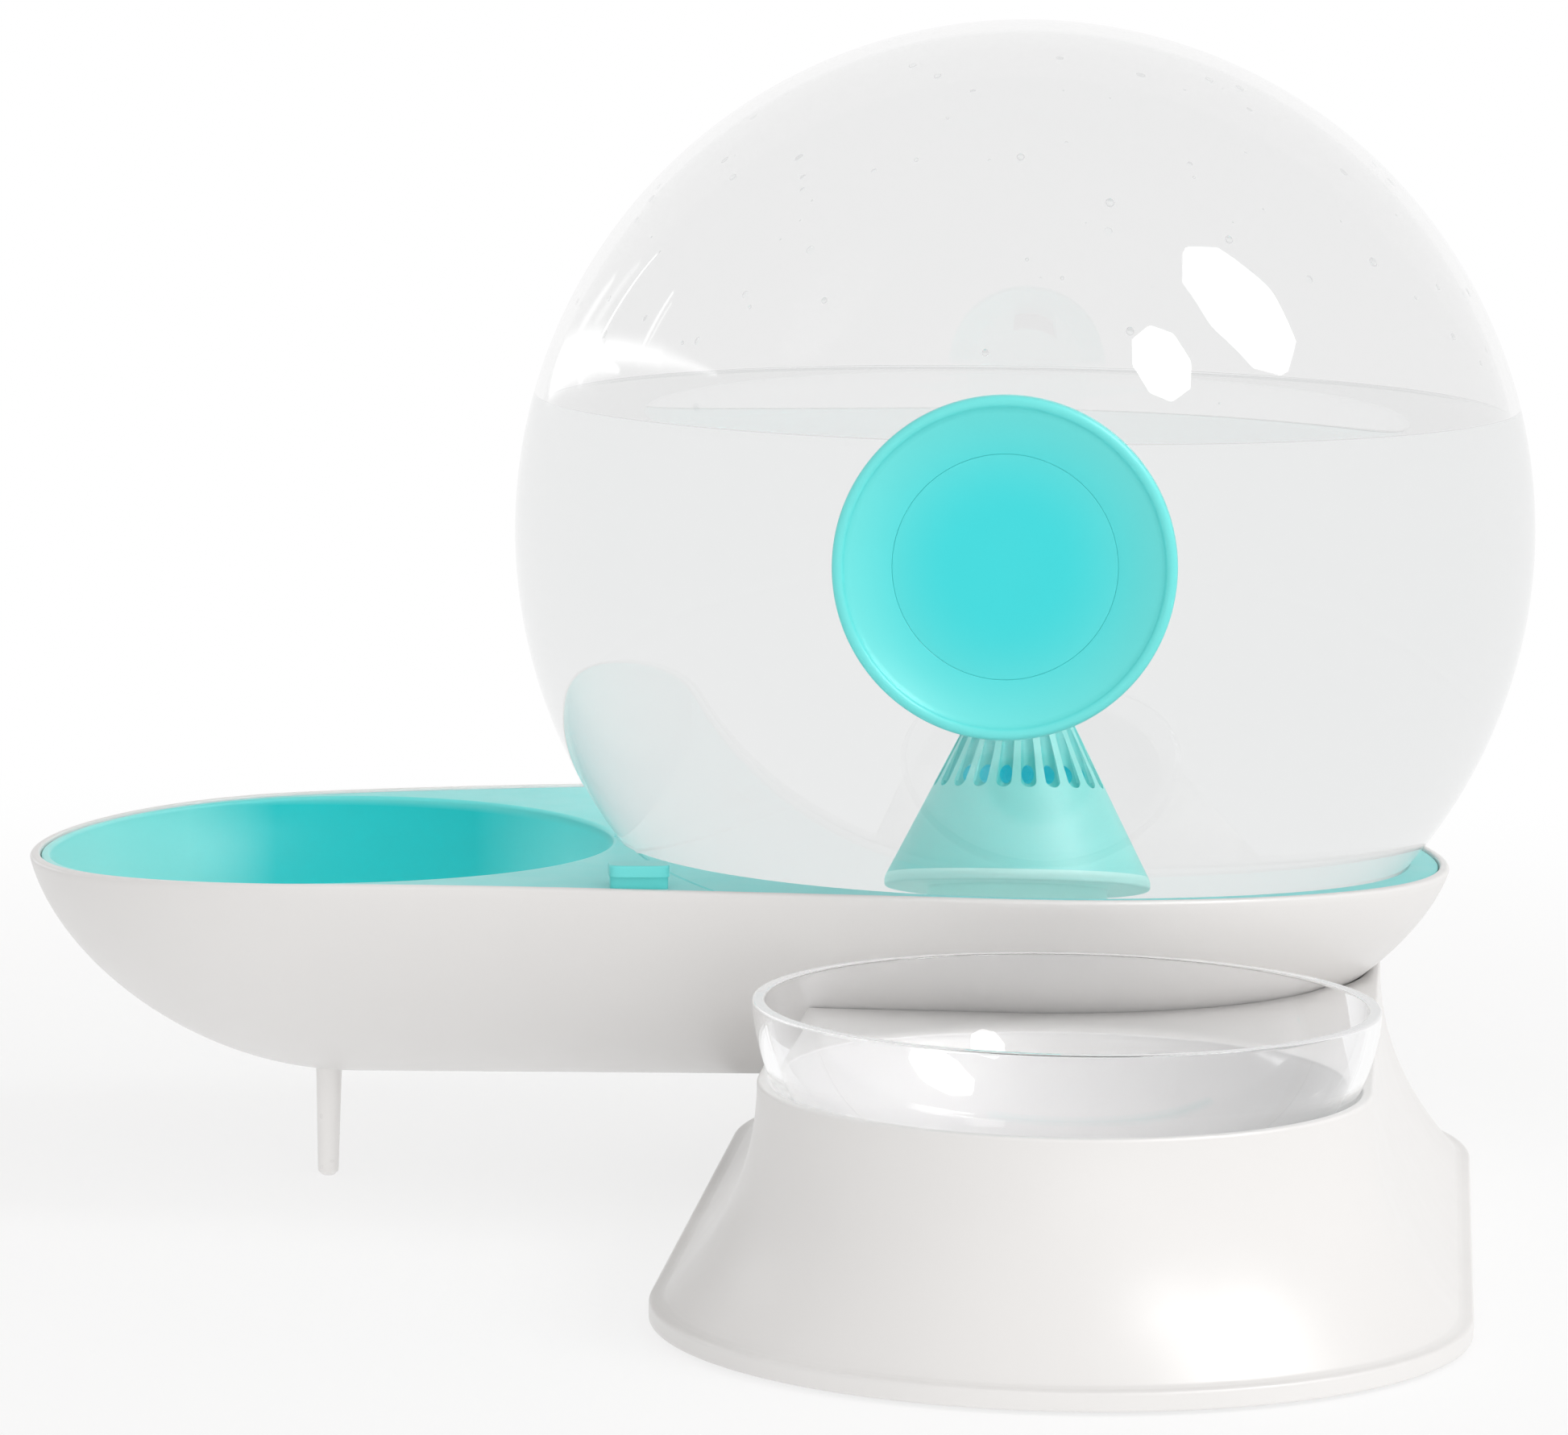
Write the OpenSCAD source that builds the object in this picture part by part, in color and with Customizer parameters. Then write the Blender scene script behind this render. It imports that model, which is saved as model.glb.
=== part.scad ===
// Pet feeding station: a clear gravity water globe on a boat shaped water tray, with a clear food
// bowl, all carried by one stand. The tray lies along X with its bow towards -X, the food bowl is
// in front towards -Y, and +Z is up. The origin is on the floor, midway between the bow and the far
// side of the globe, and midway between the front of the stand and the back of the globe.

/* [Water tank] */
// Outside diameter of the clear globe
tank_d = 180; // [178:0.5:182]
// Wall thickness of the globe
tank_wall = 2; // [1.6:0.1:2.4]
// Room for water between the globe's outlet and the floor of the tray
outlet_room = 3; // [2.8:0.1:4]

/* [Filling opening and its cap] */
// Radius of the filling opening in the globe
fill_r = 24; // [22:0.5:25]
// Turn of the filling opening from straight ahead, towards the bow
fill_turn = 8.9; // [0:0.1:12]
// Upward tilt of the filling opening
fill_tilt = 1.6; // [0:0.1:4]
// Depth of the neck inside the globe
neck_depth = 7; // [6:0.5:9]
// Outer radius of the dished cap
cap_r = 28.5; // [27.5:0.1:30]
// Height of the cap's lip over the globe at its edge
cap_lip_h = 4.4; // [4.2:0.1:4.6]
// Radius of the disc in the middle of the cap
cap_disc_r = 18.6; // [16:0.1:19.5]
// Depth of the dish, from the lip to the middle disc
cap_dish_depth = 3.6; // [3.2:0.1:3.8]
// Wall thickness of the cap
cap_wall = 1.6; // [1.2:0.1:2]

/* [Water tray] */
// Width of the tray round the globe, from the globe to the tray's edge
stern_border = 5.5; // [5.2:0.1:8]
// Radius of the tray's round bow
bow_r = 59; // [57:0.5:60]
// Distance from the globe's axis to the centre of the bow
bow_run = 116.5; // [114:0.5:120]
// Height of the tray from its keel to the crown of its rim
tray_depth = 40.8; // [40:0.1:41.5]
// Fall of the rim from its crown to the bow and to the stern
rim_fall = 3.6; // [3:0.1:4]
// Height of the keel above the floor
keel_z = 20.4; // [19:0.1:22]
// Radius of the flat keel under the stern
keel_stern_r = 10; // [8:0.5:14]
// Radius of the flat keel under the bow
keel_bow_r = 7; // [6:0.5:9]
// Wall thickness of the tray at its rim
tray_wall = 1.8; // [1.5:0.1:2.2]
// Thickness of the tray's floor
tray_floor = 2.2; // [2:0.1:2.6]
// Fullness of the tray's sides, where 1 is straight and 2 is round
tray_fullness = 1.7; // [1.5:0.05:2]
// Distance from the globe's axis to the support leg
leg_run = 122; // [118:0.5:123]
// Radius of the support leg where it meets the tray
leg_r = 2.3; // [2:0.1:2.6]

/* [Inserts of the tray] */
// Depth of the inserts' deck below the tray's rim
deck_drop = 0.4; // [0:0.1:1]
// Thickness of the inserts' deck
deck_t = 2; // [1.6:0.1:2.4]
// Half length of the drinking recess
recess_half_len = 49.8; // [48:0.1:50]
// Half width of the drinking recess
recess_half_wid = 53; // [50:0.5:53]
// Distance from the globe's axis to the middle of the drinking recess
recess_run = 122; // [122:0.1:122.5]
// Depth of the drinking recess
recess_depth = 30; // [26:0.5:31]
// Half length of the recess's floor
recess_floor_r = 16; // [14:0.5:18]
// Wall thickness of the inserts below their deck
insert_wall = 1.5; // [1.2:0.1:1.6]
// Radius of the opening in the middle of the globe's seat
seat_hole_r = 34; // [30:0.5:40]
// Distance from the globe's axis to the seam between the inserts
seam_run = 69.8; // [69.6:0.1:70]
// Radius of the curve of that seam
seam_r = 200; // [150:5:300]
// Width of the finger tab
tab_w = 10.3; // [8:0.1:13]
// Depth of the finger tab from front to back
tab_d = 7; // [6:0.5:9]
// Thickness of the finger tab's plate
tab_t = 2; // [1.4:0.1:2.2]
// Height of the neck under the finger tab
tab_neck_h = 2.1; // [1.4:0.1:2.4]
// Number of water inlets in the wall of the recess
inlet_count = 3; // [2:1:4]

/* [Stand] */
// Height of the stand's flat top above the floor
stand_h = 39.6; // [38:0.1:41]
// Radius of the stand's ends at its top
stand_top_r = 49.4; // [49.2:0.1:51]
// Radius of the stand's skirt where it meets the plinth
skirt_r = 64.2; // [62:0.1:65]
// Radius of the plinth
plinth_r = 66.3; // [65.5:0.1:68]
// Height of the plinth's top edge above the floor
plinth_h = 3.8; // [3:0.1:5]
// Power of the skirt's flare
flare_power = 2.25; // [2:0.05:2.6]
// Wall thickness of the stand
stand_wall = 2.4; // [2:0.1:2.8]
// Turn of the stand about the middle of its pedestal
stand_turn = 10; // [8:0.5:11]
// Distance from the globe's axis to the middle of the pedestal, towards the stern
pedestal_x = 15.5; // [14:0.5:17]
// Distance from the pedestal's middle to the centre of the stand's back end
back_run = 9; // [6:0.5:12]
// Distance from the pedestal's middle to the food bowl
bowl_run = 131.2; // [130:0.1:134]
// Radius of a rubber foot
foot_r = 6; // [5:0.5:7]
// Height that the rubber feet stand out below the plinth
foot_gap = 0.6; // [0.4:0.1:1]

/* [Food bowl] */
// Outer radius of the food bowl's rim
bowl_rim_r = 50.4; // [49.5:0.1:50.8]
// Height of the food bowl
bowl_h = 33; // [31:0.5:34]
// Height of the food bowl's rim over the top of the stand
bowl_proud = 13.2; // [12.5:0.1:14]
// Radius of the food bowl's flat base
bowl_base_r = 22; // [18:0.5:24]
// Wall thickness of the food bowl
bowl_wall = 2; // [1.6:0.1:2.4]
// Fullness of the food bowl's sides
bowl_fullness = 1.8; // [1.7:0.05:1.9]

/* [Outlet valve and strainer] */
// Radius of the strainer's flange on the globe's boss
strainer_flange_r = 17; // [16:0.5:18]
// Height of the riser tube between the flange and the strainer's cone
riser_h = 35.8; // [32:0.1:37]
// Number of drain ports low in the riser tube
drain_count = 4; // [3:1:5]
// Radius of the strainer's cone at its base
strainer_base_r = 17.6; // [17:0.1:18.5]
// Radius of the strainer's cone at its top
strainer_top_r = 5.1; // [4.6:0.1:5.6]
// Height of the strainer's cone
strainer_h = 27.5; // [27:0.5:30]
// Wall thickness of the strainer
strainer_wall = 1.6; // [1.2:0.1:2]
// Number of slots round the strainer's cone
slot_count = 20; // [14:1:20]
// Length of a slot
slot_len = 10; // [8:0.5:11]
// Width of a slot at its round lower end
slot_w = 2; // [1.6:0.1:2.2]
// Radius of the spigot that passes through the globe's bottom
spigot_r = 12.7; // [12:0.1:13]
// Wall thickness of the spigot
spigot_wall = 2.4; // [2:0.1:2.6]
// Thickness of the nut under the globe
nut_t = 2.2; // [2:0.1:2.4]
// Radius of the valve's opening
port_r = 5.5; // [5:0.1:6]
// Radius of the valve stem
stem_r = 1.5; // [1.3:0.1:1.8]
// Radius of the rubber valve disc
disc_r = 8; // [7.5:0.1:8.5]
// Thickness of the rubber valve disc
disc_t = 1.4; // [1:0.1:1.8]
// Height that the seated globe's valve stands open
valve_open = 2; // [1.5:0.1:2.2]
// Height that the stem can still rise
stem_travel = 2; // [1.5:0.1:2.5]
// Wire diameter of the valve spring
wire_d = 0.8; // [0.6:0.1:0.9]
// Number of turns of the valve spring
spring_turns = 5; // [4:1:6]

/* [Fits] */
// Gap between pieces that lift off or slide
gap = 0.3; // [0.2:0.05:0.35]
// Gap between pieces that are pushed or screwed together
close_gap = 0.05; // [0.02:0.01:0.1]

/* [Hidden] */

// Overshoot of cuts past the faces that they open
over = 1;
// Points round the outline of a lofted form, and levels from its top to its bottom
around = 52;
levels = 8;
// Steps from the crown of the rim to each of its ends, and the power by which the rim falls
crown_steps = 12;
crown_power = 3.7;

// Heights and radii that follow from the sizes above
tank_r = tank_d / 2;
tank_z = keel_z + tray_floor + outlet_room + tank_r;
rim_z = keel_z + tray_depth;
deck_z = rim_z - deck_drop;
stern_r = sphere_at(tank_z - deck_z, tank_r + gap) + stern_border;
tray_top_z = keel_z + tray_floor;
bowl_z = stand_h + bowl_proud - bowl_h;

// Place of the stand's two round ends, in the stand's own frame
bowl_y = -bowl_run;
back_y = back_run;

// The globe's axis, measured from the origin
front_reach = plinth_r + bowl_run * cos(stand_turn);
tank_x = (bow_run + bow_r - tank_r) / 2;
tank_y = (front_reach - tank_r) / 2;

// Outlet of the globe, from its boss upwards
outlet_z = tank_z - tank_r;
boss_r = strainer_flange_r + 2;
boss_h = tank_r - sphere_at(strainer_flange_r + 0.5, tank_r - tank_wall);
seal_t = 1;
flange_t = 1.8;
seal_z = outlet_z + boss_h;
flange_z = seal_z + seal_t;
riser_z = flange_z + flange_t;
cone_z = riser_z + riser_h;
spigot_z = outlet_z - nut_t;
port_t = 1.2;
port_z = spigot_z + 1;
disc_z = port_z + port_t + valve_open;
stem_foot_z = tray_top_z + 1.4;
collar_t = 1;
collar_z = disc_z + disc_t;
spring_slack = 8;
guide_z = collar_z + collar_t + spring_turns * wire_d + stem_travel + spring_slack;
guide_t = 1.6;
stem_top_z = guide_z + guide_t + 2;
cone_top_z = cone_z + strainer_h;
cone_edge = 1.5;
slot_z = cone_top_z - cone_edge - slot_len - 2.2;

// Radius fraction and depth fraction of a round-sided form at a step from its rim to its base
function draw_in(step, power) = pow(cos(90 * step), 2 / power);
function draw_down(step, power) = pow(sin(90 * step), 2 / power);

// Distance from the tank's centre, along an axis, of a sphere's surface at a radius from that axis
function sphere_at(r, ball_r) = sqrt(ball_r * ball_r - r * r);

// Outline round two circles and the two lines that touch both, at one height.
// near_r is round near_c and far_r is round far_c, which lies the smaller way along the line.
function twin_ring(near_c, near_r, far_c, far_r, z) =
    let (run = norm(near_c - far_c),
         along = (near_c - far_c) / run,
         side = [-along[1], along[0]],
         turn_cos = (far_r - near_r) / run)
    [for (i = [0:around - 1])
        let (a = 360 * (i + 0.5) / around,
             near = cos(a) > turn_cos,
             c = near ? near_c : far_c,
             r = near ? near_r : far_r,
             p = c + r * (cos(a) * along + sin(a) * side))
        [p[0], p[1], z]];

// Oval at one height
function oval_ring(x, half_len, half_wid, z) =
    [for (i = [0:around - 1])
        let (a = 360 * (i + 0.5) / around)
        [x + half_len * cos(a), half_wid * sin(a), z]];

// Solid through a stack of rings, the lowest first, all with the same number of points
module loft(rings) {
    n = len(rings[0]);
    last = len(rings) - 1;
    points = [for (ring = rings) for (p = ring) p];
    floor_face = [for (i = [0:n - 1]) i];
    roof_face = [for (i = [0:n - 1]) last * n + n - 1 - i];
    sides = [for (k = [0:last - 1]) for (i = [0:n - 1])
        let (j = (i + 1) % n, low = k * n, high = low + n)
        each [[low + i, high + i, high + j], [low + i, high + j, low + j]]];
    polyhedron(points, concat([floor_face, roof_face], sides));
}

// The boat form of the tray, drawn in by a thickness at its sides and raised by another at its
// floor. A negative thickness makes it larger. It ends a little above the rim.
module tray_form(side_t, floor_t, rise = 0) {
    stern_in = stern_r - side_t - keel_stern_r;
    bow_in = bow_r - side_t - keel_bow_r;
    depth = tray_depth - floor_t;
    sides = [for (k = [levels:-1:0])
        let (step = k / levels,
             f = draw_in(step, tray_fullness),
             z = rim_z - depth * draw_down(step, tray_fullness))
        twin_ring([0, 0], keel_stern_r + stern_in * f, [-bow_run, 0], keel_bow_r + bow_in * f, z)];
    rim = twin_ring([0, 0], stern_r - side_t, [-bow_run, 0], bow_r - side_t, rim_z + rise);
    loft(rise > 0 ? concat(sides, [rim]) : sides);
}

// Slab of a thickness whose top is crowned like the rim: at top_z in the tray's middle, and lower
// towards its bow and stern by a power of the distance
module crowned(top_z, thick) {
    middle = (stern_r - bow_run - bow_r) / 2;
    half = (stern_r + bow_run + bow_r) / 2 + over;
    steps = [for (i = [-crown_steps:crown_steps]) sign(i) * sqrt(abs(i) / crown_steps)];
    top = [for (u = steps) [middle + half * u, top_z - rim_fall * pow(abs(u), crown_power)]];
    base = [for (i = [len(top) - 1:-1:0]) top[i] - [0, thick]];
    translate([0, stern_r, 0]) rotate([90, 0, 0]) linear_extrude(2 * stern_r)
        polygon(concat(top, base));
}

// Deck of the inserts: a crowned slice of the tray's inner form, a gap inside its wall
module insert_deck() {
    intersection() {
        tray_form(tray_wall + gap, tray_floor);
        crowned(deck_z, deck_t);
    }
}

// The drinking recess, made larger by a wall at its sides and floor
module recess_form(wall, rise = 0) {
    floor_z = deck_z - recess_depth;
    floor_x = -bow_run - 3;
    ratio = recess_half_wid / recess_half_len;
    sides = [for (k = [levels:-1:0])
        let (step = k / levels,
             f = draw_in(step, tray_fullness),
             half = recess_floor_r + (recess_half_len - recess_floor_r) * f,
             x = -recess_run * f + floor_x * (1 - f),
             z = deck_z - recess_depth * draw_down(step, tray_fullness))
        oval_ring(x, half + wall, half * ratio + wall, z)];
    base = oval_ring(floor_x, recess_floor_r + wall, recess_floor_r * ratio + wall, floor_z - wall);
    mouth = oval_ring(-recess_run, recess_half_len + wall, recess_half_wid + wall, deck_z + rise);
    loft(concat(wall > 0 ? [base] : [], sides, rise > 0 ? [mouth] : []));
}

// Side of the seam that carries the globe, larger by a margin
module seat_side(margin) {
    translate([seam_r - seam_run, 0, 0])
        cylinder(h = tank_z, r = seam_r + margin, $fn = 180);
}

// Ring of the stand's outline at a height
function stand_ring(r, z) = twin_ring([0, back_y], r, [0, bowl_y], r, z);

// Radius of the stand's skirt at a height above its plinth
function skirt_at(z) =
    stand_top_r + (skirt_r - stand_top_r) * pow(1 - (z - plinth_h) / (stand_h - plinth_h), flare_power);

// The stand's outer form, drawn in by a wall and lowered by a roof
module stand_form(wall, roof) {
    edge = 0.5;
    top_z = stand_h - roof;
    foot = wall > 0 ? -over : foot_gap;
    step_z = plinth_h + 0.4;
    plinth = [stand_ring(plinth_r - wall - edge / 2, foot),
              stand_ring(plinth_r - wall, foot_gap + edge),
              stand_ring(plinth_r - wall, plinth_h - 2 * edge),
              stand_ring(plinth_r - wall - edge, plinth_h)];
    skirt = [for (k = [0:levels - 1])
        let (z = step_z + (top_z - edge - step_z) * pow(k / (levels - 1), 1.2))
        stand_ring(skirt_at(z) - wall, z)];
    loft(concat(plinth, skirt, [stand_ring(stand_top_r - wall - edge, top_z)]));
}

// Half outline of the food bowl's outside, grown by a margin at its sides
function bowl_curve(margin, floor_t) =
    let (last = levels + 3)
    [for (k = [0:last])
        let (step = k / last,
             f = draw_in(step, bowl_fullness),
             z = bowl_h - (bowl_h - floor_t) * draw_down(step, bowl_fullness))
        [bowl_base_r + (bowl_rim_r + margin - bowl_base_r) * f, z]];

// Solid of the food bowl's outside, grown by a margin at its sides and a depth under its base
module bowl_form(margin, floor_t) {
    top_r = bowl_rim_r + margin;
    rotate_extrude($fn = 120)
        polygon(concat([[0, floor_t], [0, bowl_h + (margin == 0 ? 0 : over)]],
                       margin == 0 ? [] : [[top_r, bowl_h + over]],
                       bowl_curve(margin, floor_t)));
}

// Frames in which the pieces are drawn
module at_tank() translate([tank_x, tank_y, 0]) children();
module at_globe() translate([tank_x, tank_y, tank_z]) children();
module at_fill() at_globe() rotate([90 - fill_tilt, 0, -fill_turn]) children();
module at_stand() at_tank() translate([pedestal_x, 0, 0]) rotate([0, 0, -stand_turn]) children();
module at_bowl() at_stand() translate([0, bowl_y, bowl_z]) children();

// Four places under the stand's ends
module at_feet() {
    side = plinth_r * 0.66;
    reach = plinth_r * 0.42;
    at_stand() for (x = [-side, side], y = [bowl_y - reach, back_y + reach])
        translate([x, y, 0]) children();
}

// One moulding: flared skirt on a plinth, cup for the food bowl and cradle for the tray
module stand_shell() {
    foot_depth = 1;
    boss_rise = 6;
    boss_wall = 2;
    color("whitesmoke") difference() {
        union() {
            at_stand() difference() {
                stand_form(0, 0);
                stand_form(stand_wall, stand_wall);
            }
            intersection() {
                at_stand() stand_form(0, 0);
                union() {
                    at_bowl() bowl_form(gap + stand_wall, -stand_wall);
                    at_tank() tray_form(-gap - stand_wall, -gap - stand_wall);
                    at_feet() translate([0, 0, foot_gap])
                        cylinder(h = boss_rise, r = foot_r + boss_wall, $fn = 48);
                }
            }
        }
        at_bowl() bowl_form(gap, 0);
        at_tank() tray_form(-gap, -gap, over);
        at_feet() translate([0, 0, foot_gap - over])
            cylinder(h = over + foot_depth, r = foot_r + close_gap, $fn = 48);
    }
}

// Soft pads pushed into the stand's bosses
module rubber_feet() {
    color("gainsboro") at_feet() cylinder(h = foot_gap + 1, r = foot_r, $fn = 48);
}

// Clear bowl with a thin rim, resting in the cup of the stand
module food_bowl() {
    color("lightcyan", 0.5) at_bowl() difference() {
        bowl_form(0, 0);
        bowl_form(-bowl_wall, bowl_wall);
    }
}

// Boat shaped tray with the pin that opens the globe's valve
module water_tray() {
    pin_r = 2.5;
    color("white") at_tank() difference() {
        union() {
            intersection() {
                difference() {
                    tray_form(0, 0, over);
                    tray_form(tray_wall, tray_floor, 2 * over);
                }
                crowned(rim_z, rim_z);
            }
            translate([0, 0, keel_z + tray_floor / 2])
                cylinder(h = stem_foot_z - keel_z - tray_floor / 2, r = pin_r, $fn = 48);
        }
        translate([-leg_run, 0, keel_z - over])
            cylinder(h = over + leg_plug_h() + close_gap, r = leg_plug_r() + close_gap, $fn = 32);
    }
}

// Plug of the leg that fits the blind hole in the tray's keel
function leg_plug_r() = leg_r / 2;
function leg_plug_h() = tray_floor * 0.65;

// Peg that carries the bow
module support_leg() {
    tip_r = leg_r * 0.8;
    chamfer = 0.8;
    color("white") at_tank() translate([-leg_run, 0, 0]) rotate_extrude($fn = 48)
        polygon([[0, 0], [tip_r - chamfer, 0], [tip_r, chamfer], [leg_r, keel_z], [leg_plug_r(), keel_z],
                 [leg_plug_r(), keel_z + leg_plug_h()], [0, keel_z + leg_plug_h()]]);
}

// Loose insert with the drinking recess, its water inlets and the finger tab
module bowl_insert() {
    color("turquoise") at_tank() difference() {
        union() {
            insert_deck();
            intersection() {
                recess_form(insert_wall);
                crowned(deck_z - deck_t / 2, deck_z);
            }
            finger_tab();
        }
        recess_form(0, over);
        seat_side(gap);
        translate([0, 0, tank_z]) sphere(r = tank_r + gap, $fn = 120);
        water_inlets();
    }
}

// Plate on a narrower neck at the front edge of the deck, to lift the insert by
module finger_tab() {
    corner = 1.2;
    flank = (stern_r - bow_r) / bow_run;
    tab_x = -seam_run - tab_w / 2 + 3.4;
    edge_y = -(stern_r + flank * tab_x - tray_wall - gap);
    translate([tab_x, edge_y + tab_d / 2, deck_z]) {
        translate([0, tab_d * 0.08, -deck_t / 2])
            rounded_plate(tab_w - 0.4, tab_d * 0.7, deck_t / 2 + tab_neck_h + tab_t / 2, corner);
        translate([0, 0, tab_neck_h]) rounded_plate(tab_w, tab_d, tab_t, corner);
    }
}

// Plate with round corners, made of two blocks and four posts
module rounded_plate(w, d, t, r) {
    translate([-w / 2 + r, -d / 2, 0]) cube([w - 2 * r, d, t]);
    translate([-w / 2, -d / 2 + r, 0]) cube([w, d - 2 * r, t]);
    for (x = [r - w / 2, w / 2 - r], y = [r - d / 2, d / 2 - r])
        translate([x, y, 0]) cylinder(h = t, r = r, $fn = 32);
}

// Slots low in the wall of the recess, on the side of the globe
module water_inlets() {
    inlet_w = 7;
    inlet_h = 3;
    pitch = 11;
    for (i = [0:inlet_count - 1])
        translate([-bow_run + 10, (i - (inlet_count - 1) / 2) * pitch - inlet_w / 2,
                   deck_z - recess_depth + 1])
            cube([recess_half_len, inlet_w, inlet_h]);
}

// Loose insert with the round seat of the globe
module seat_insert() {
    color("turquoise") at_tank() intersection() {
        difference() {
            union() {
                insert_deck();
                intersection() {
                    translate([0, 0, tank_z]) sphere(r = tank_r + gap + insert_wall, $fn = 120);
                    crowned(deck_z - deck_t / 2, deck_z);
                }
            }
            translate([0, 0, tank_z]) sphere(r = tank_r + gap, $fn = 120);
            cylinder(h = tank_z, r = seat_hole_r, $fn = 96);
        }
        seat_side(0);
    }
}

// Clear globe with its filling neck and the flat boss of its outlet
module tank_globe() {
    neck_t = 2.2;
    neck_foot = sphere_at(fill_r + neck_t, tank_r) - neck_depth;
    color("aliceblue", 0.4) difference() {
        union() {
            at_globe() difference() {
                sphere(r = tank_r, $fn = 180);
                sphere(r = tank_r - tank_wall, $fn = 180);
            }
            intersection() {
                at_globe() sphere(r = tank_r, $fn = 180);
                at_fill() translate([0, 0, neck_foot])
                    cylinder(h = tank_r, r = fill_r + neck_t, $fn = 120);
            }
            at_tank() translate([0, 0, outlet_z]) cylinder(h = boss_h, r = boss_r, $fn = 96);
        }
        at_fill() translate([0, 0, neck_foot - over]) cylinder(h = tank_r, r = fill_r, $fn = 120);
        at_tank() translate([0, 0, outlet_z - over])
            cylinder(h = boss_h + 2 * over, r = spigot_r + gap, $fn = 96);
    }
}

// Strainer: a slotted cone on a riser tube, with its flange, the spigot through the globe's bottom,
// the valve's port and the stem's guide
module strainer_cone() {
    bore_r = spigot_r - spigot_wall;
    riser_r = bore_r + strainer_wall;
    base_edge = 1.2;
    in_base = strainer_base_r - strainer_wall;
    in_top = strainer_top_r - strainer_wall;
    drain_w = 5;
    drain_h = 8;
    color("turquoise") at_tank() difference() {
        union() {
            rotate_extrude($fn = 96) polygon([
                [bore_r, spigot_z], [spigot_r, spigot_z], [spigot_r, flange_z],
                [strainer_flange_r, flange_z], [strainer_flange_r, riser_z], [riser_r, riser_z],
                [riser_r, cone_z], [strainer_base_r, cone_z], [strainer_base_r, cone_z + base_edge],
                [strainer_top_r, cone_top_z - cone_edge], [strainer_top_r - cone_edge, cone_top_z],
                [0, cone_top_z], [0, cone_top_z - strainer_wall],
                [in_top - cone_edge / 2, cone_top_z - strainer_wall], [in_top, cone_top_z - strainer_wall - 1],
                [in_base, cone_z + strainer_wall], [bore_r, cone_z + strainer_wall]]);
            translate([0, 0, port_z]) cylinder(h = port_t, r = bore_r + over / 2, $fn = 96);
            translate([0, 0, guide_z]) cylinder(h = guide_t, r = bore_r + over / 2, $fn = 96);
        }
        translate([0, 0, port_z - over]) cylinder(h = port_t + 2 * over, r = port_r, $fn = 48);
        translate([0, 0, guide_z - over]) cylinder(h = guide_t + 2 * over, r = stem_r + gap, $fn = 48);
        for (a = [0:60:300]) rotate([0, 0, a]) translate([bore_r * 0.6, 0, guide_z - over])
            cylinder(h = guide_t + 2 * over, r = bore_r * 0.2, $fn = 32);
        for (i = [0:drain_count - 1]) rotate([0, 0, 360 * i / drain_count])
            translate([bore_r / 2, -drain_w / 2, riser_z + over / 2]) cube([riser_r, drain_w, drain_h]);
        for (i = [0:slot_count - 1]) rotate([0, 0, 360 * i / slot_count])
            translate([strainer_wall, 0, slot_z]) rotate([90, 0, 90])
                linear_extrude(height = strainer_base_r) slot_outline();
    }
}

// Drop shaped slot, round below and narrow above
module slot_outline() {
    low_r = slot_w / 2;
    high_r = slot_w / 4;
    translate([0, low_r]) circle(r = low_r, $fn = 24);
    translate([0, slot_len - high_r]) circle(r = high_r, $fn = 24);
    polygon([[-low_r, low_r], [low_r, low_r], [high_r, slot_len - high_r], [-high_r, slot_len - high_r]]);
}

// Flat ring between the strainer's flange and the globe's boss
module outlet_seal() {
    color("dimgray") at_tank() translate([0, 0, seal_z]) difference() {
        cylinder(h = seal_t, r = strainer_flange_r - 0.5, $fn = 96);
        translate([0, 0, -over]) cylinder(h = seal_t + 2 * over, r = spigot_r + close_gap, $fn = 96);
    }
}

// Ring nut that holds the strainer to the globe, with grips round its edge
module outlet_nut() {
    nut_r = spigot_r + 4;
    grip_count = 24;
    color("turquoise") at_tank() translate([0, 0, spigot_z]) difference() {
        cylinder(h = nut_t, r = nut_r, $fn = 96);
        translate([0, 0, -over]) cylinder(h = nut_t + 2 * over, r = spigot_r + close_gap, $fn = 96);
        for (i = [0:grip_count - 1]) rotate([0, 0, 360 * i / grip_count])
            translate([nut_r + 0.3, 0, -over]) cylinder(h = nut_t + 2 * over, r = 0.8, $fn = 16);
    }
}

// Stem that stands on the tray's pin, with the collar that the spring pushes on
module valve_stem() {
    collar_r = 4.4;
    color("white") at_tank() {
        translate([0, 0, stem_foot_z]) cylinder(h = stem_top_z - stem_foot_z, r = stem_r, $fn = 48);
        translate([0, 0, collar_z]) cylinder(h = collar_t, r = collar_r, $fn = 48);
    }
}

// Rubber disc that closes the port when the globe is lifted off
module valve_disc() {
    color("dimgray") at_tank() translate([0, 0, disc_z]) difference() {
        cylinder(h = disc_t, r = disc_r, $fn = 72);
        translate([0, 0, -over]) cylinder(h = disc_t + 2 * over, r = stem_r + close_gap, $fn = 48);
    }
}

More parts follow.
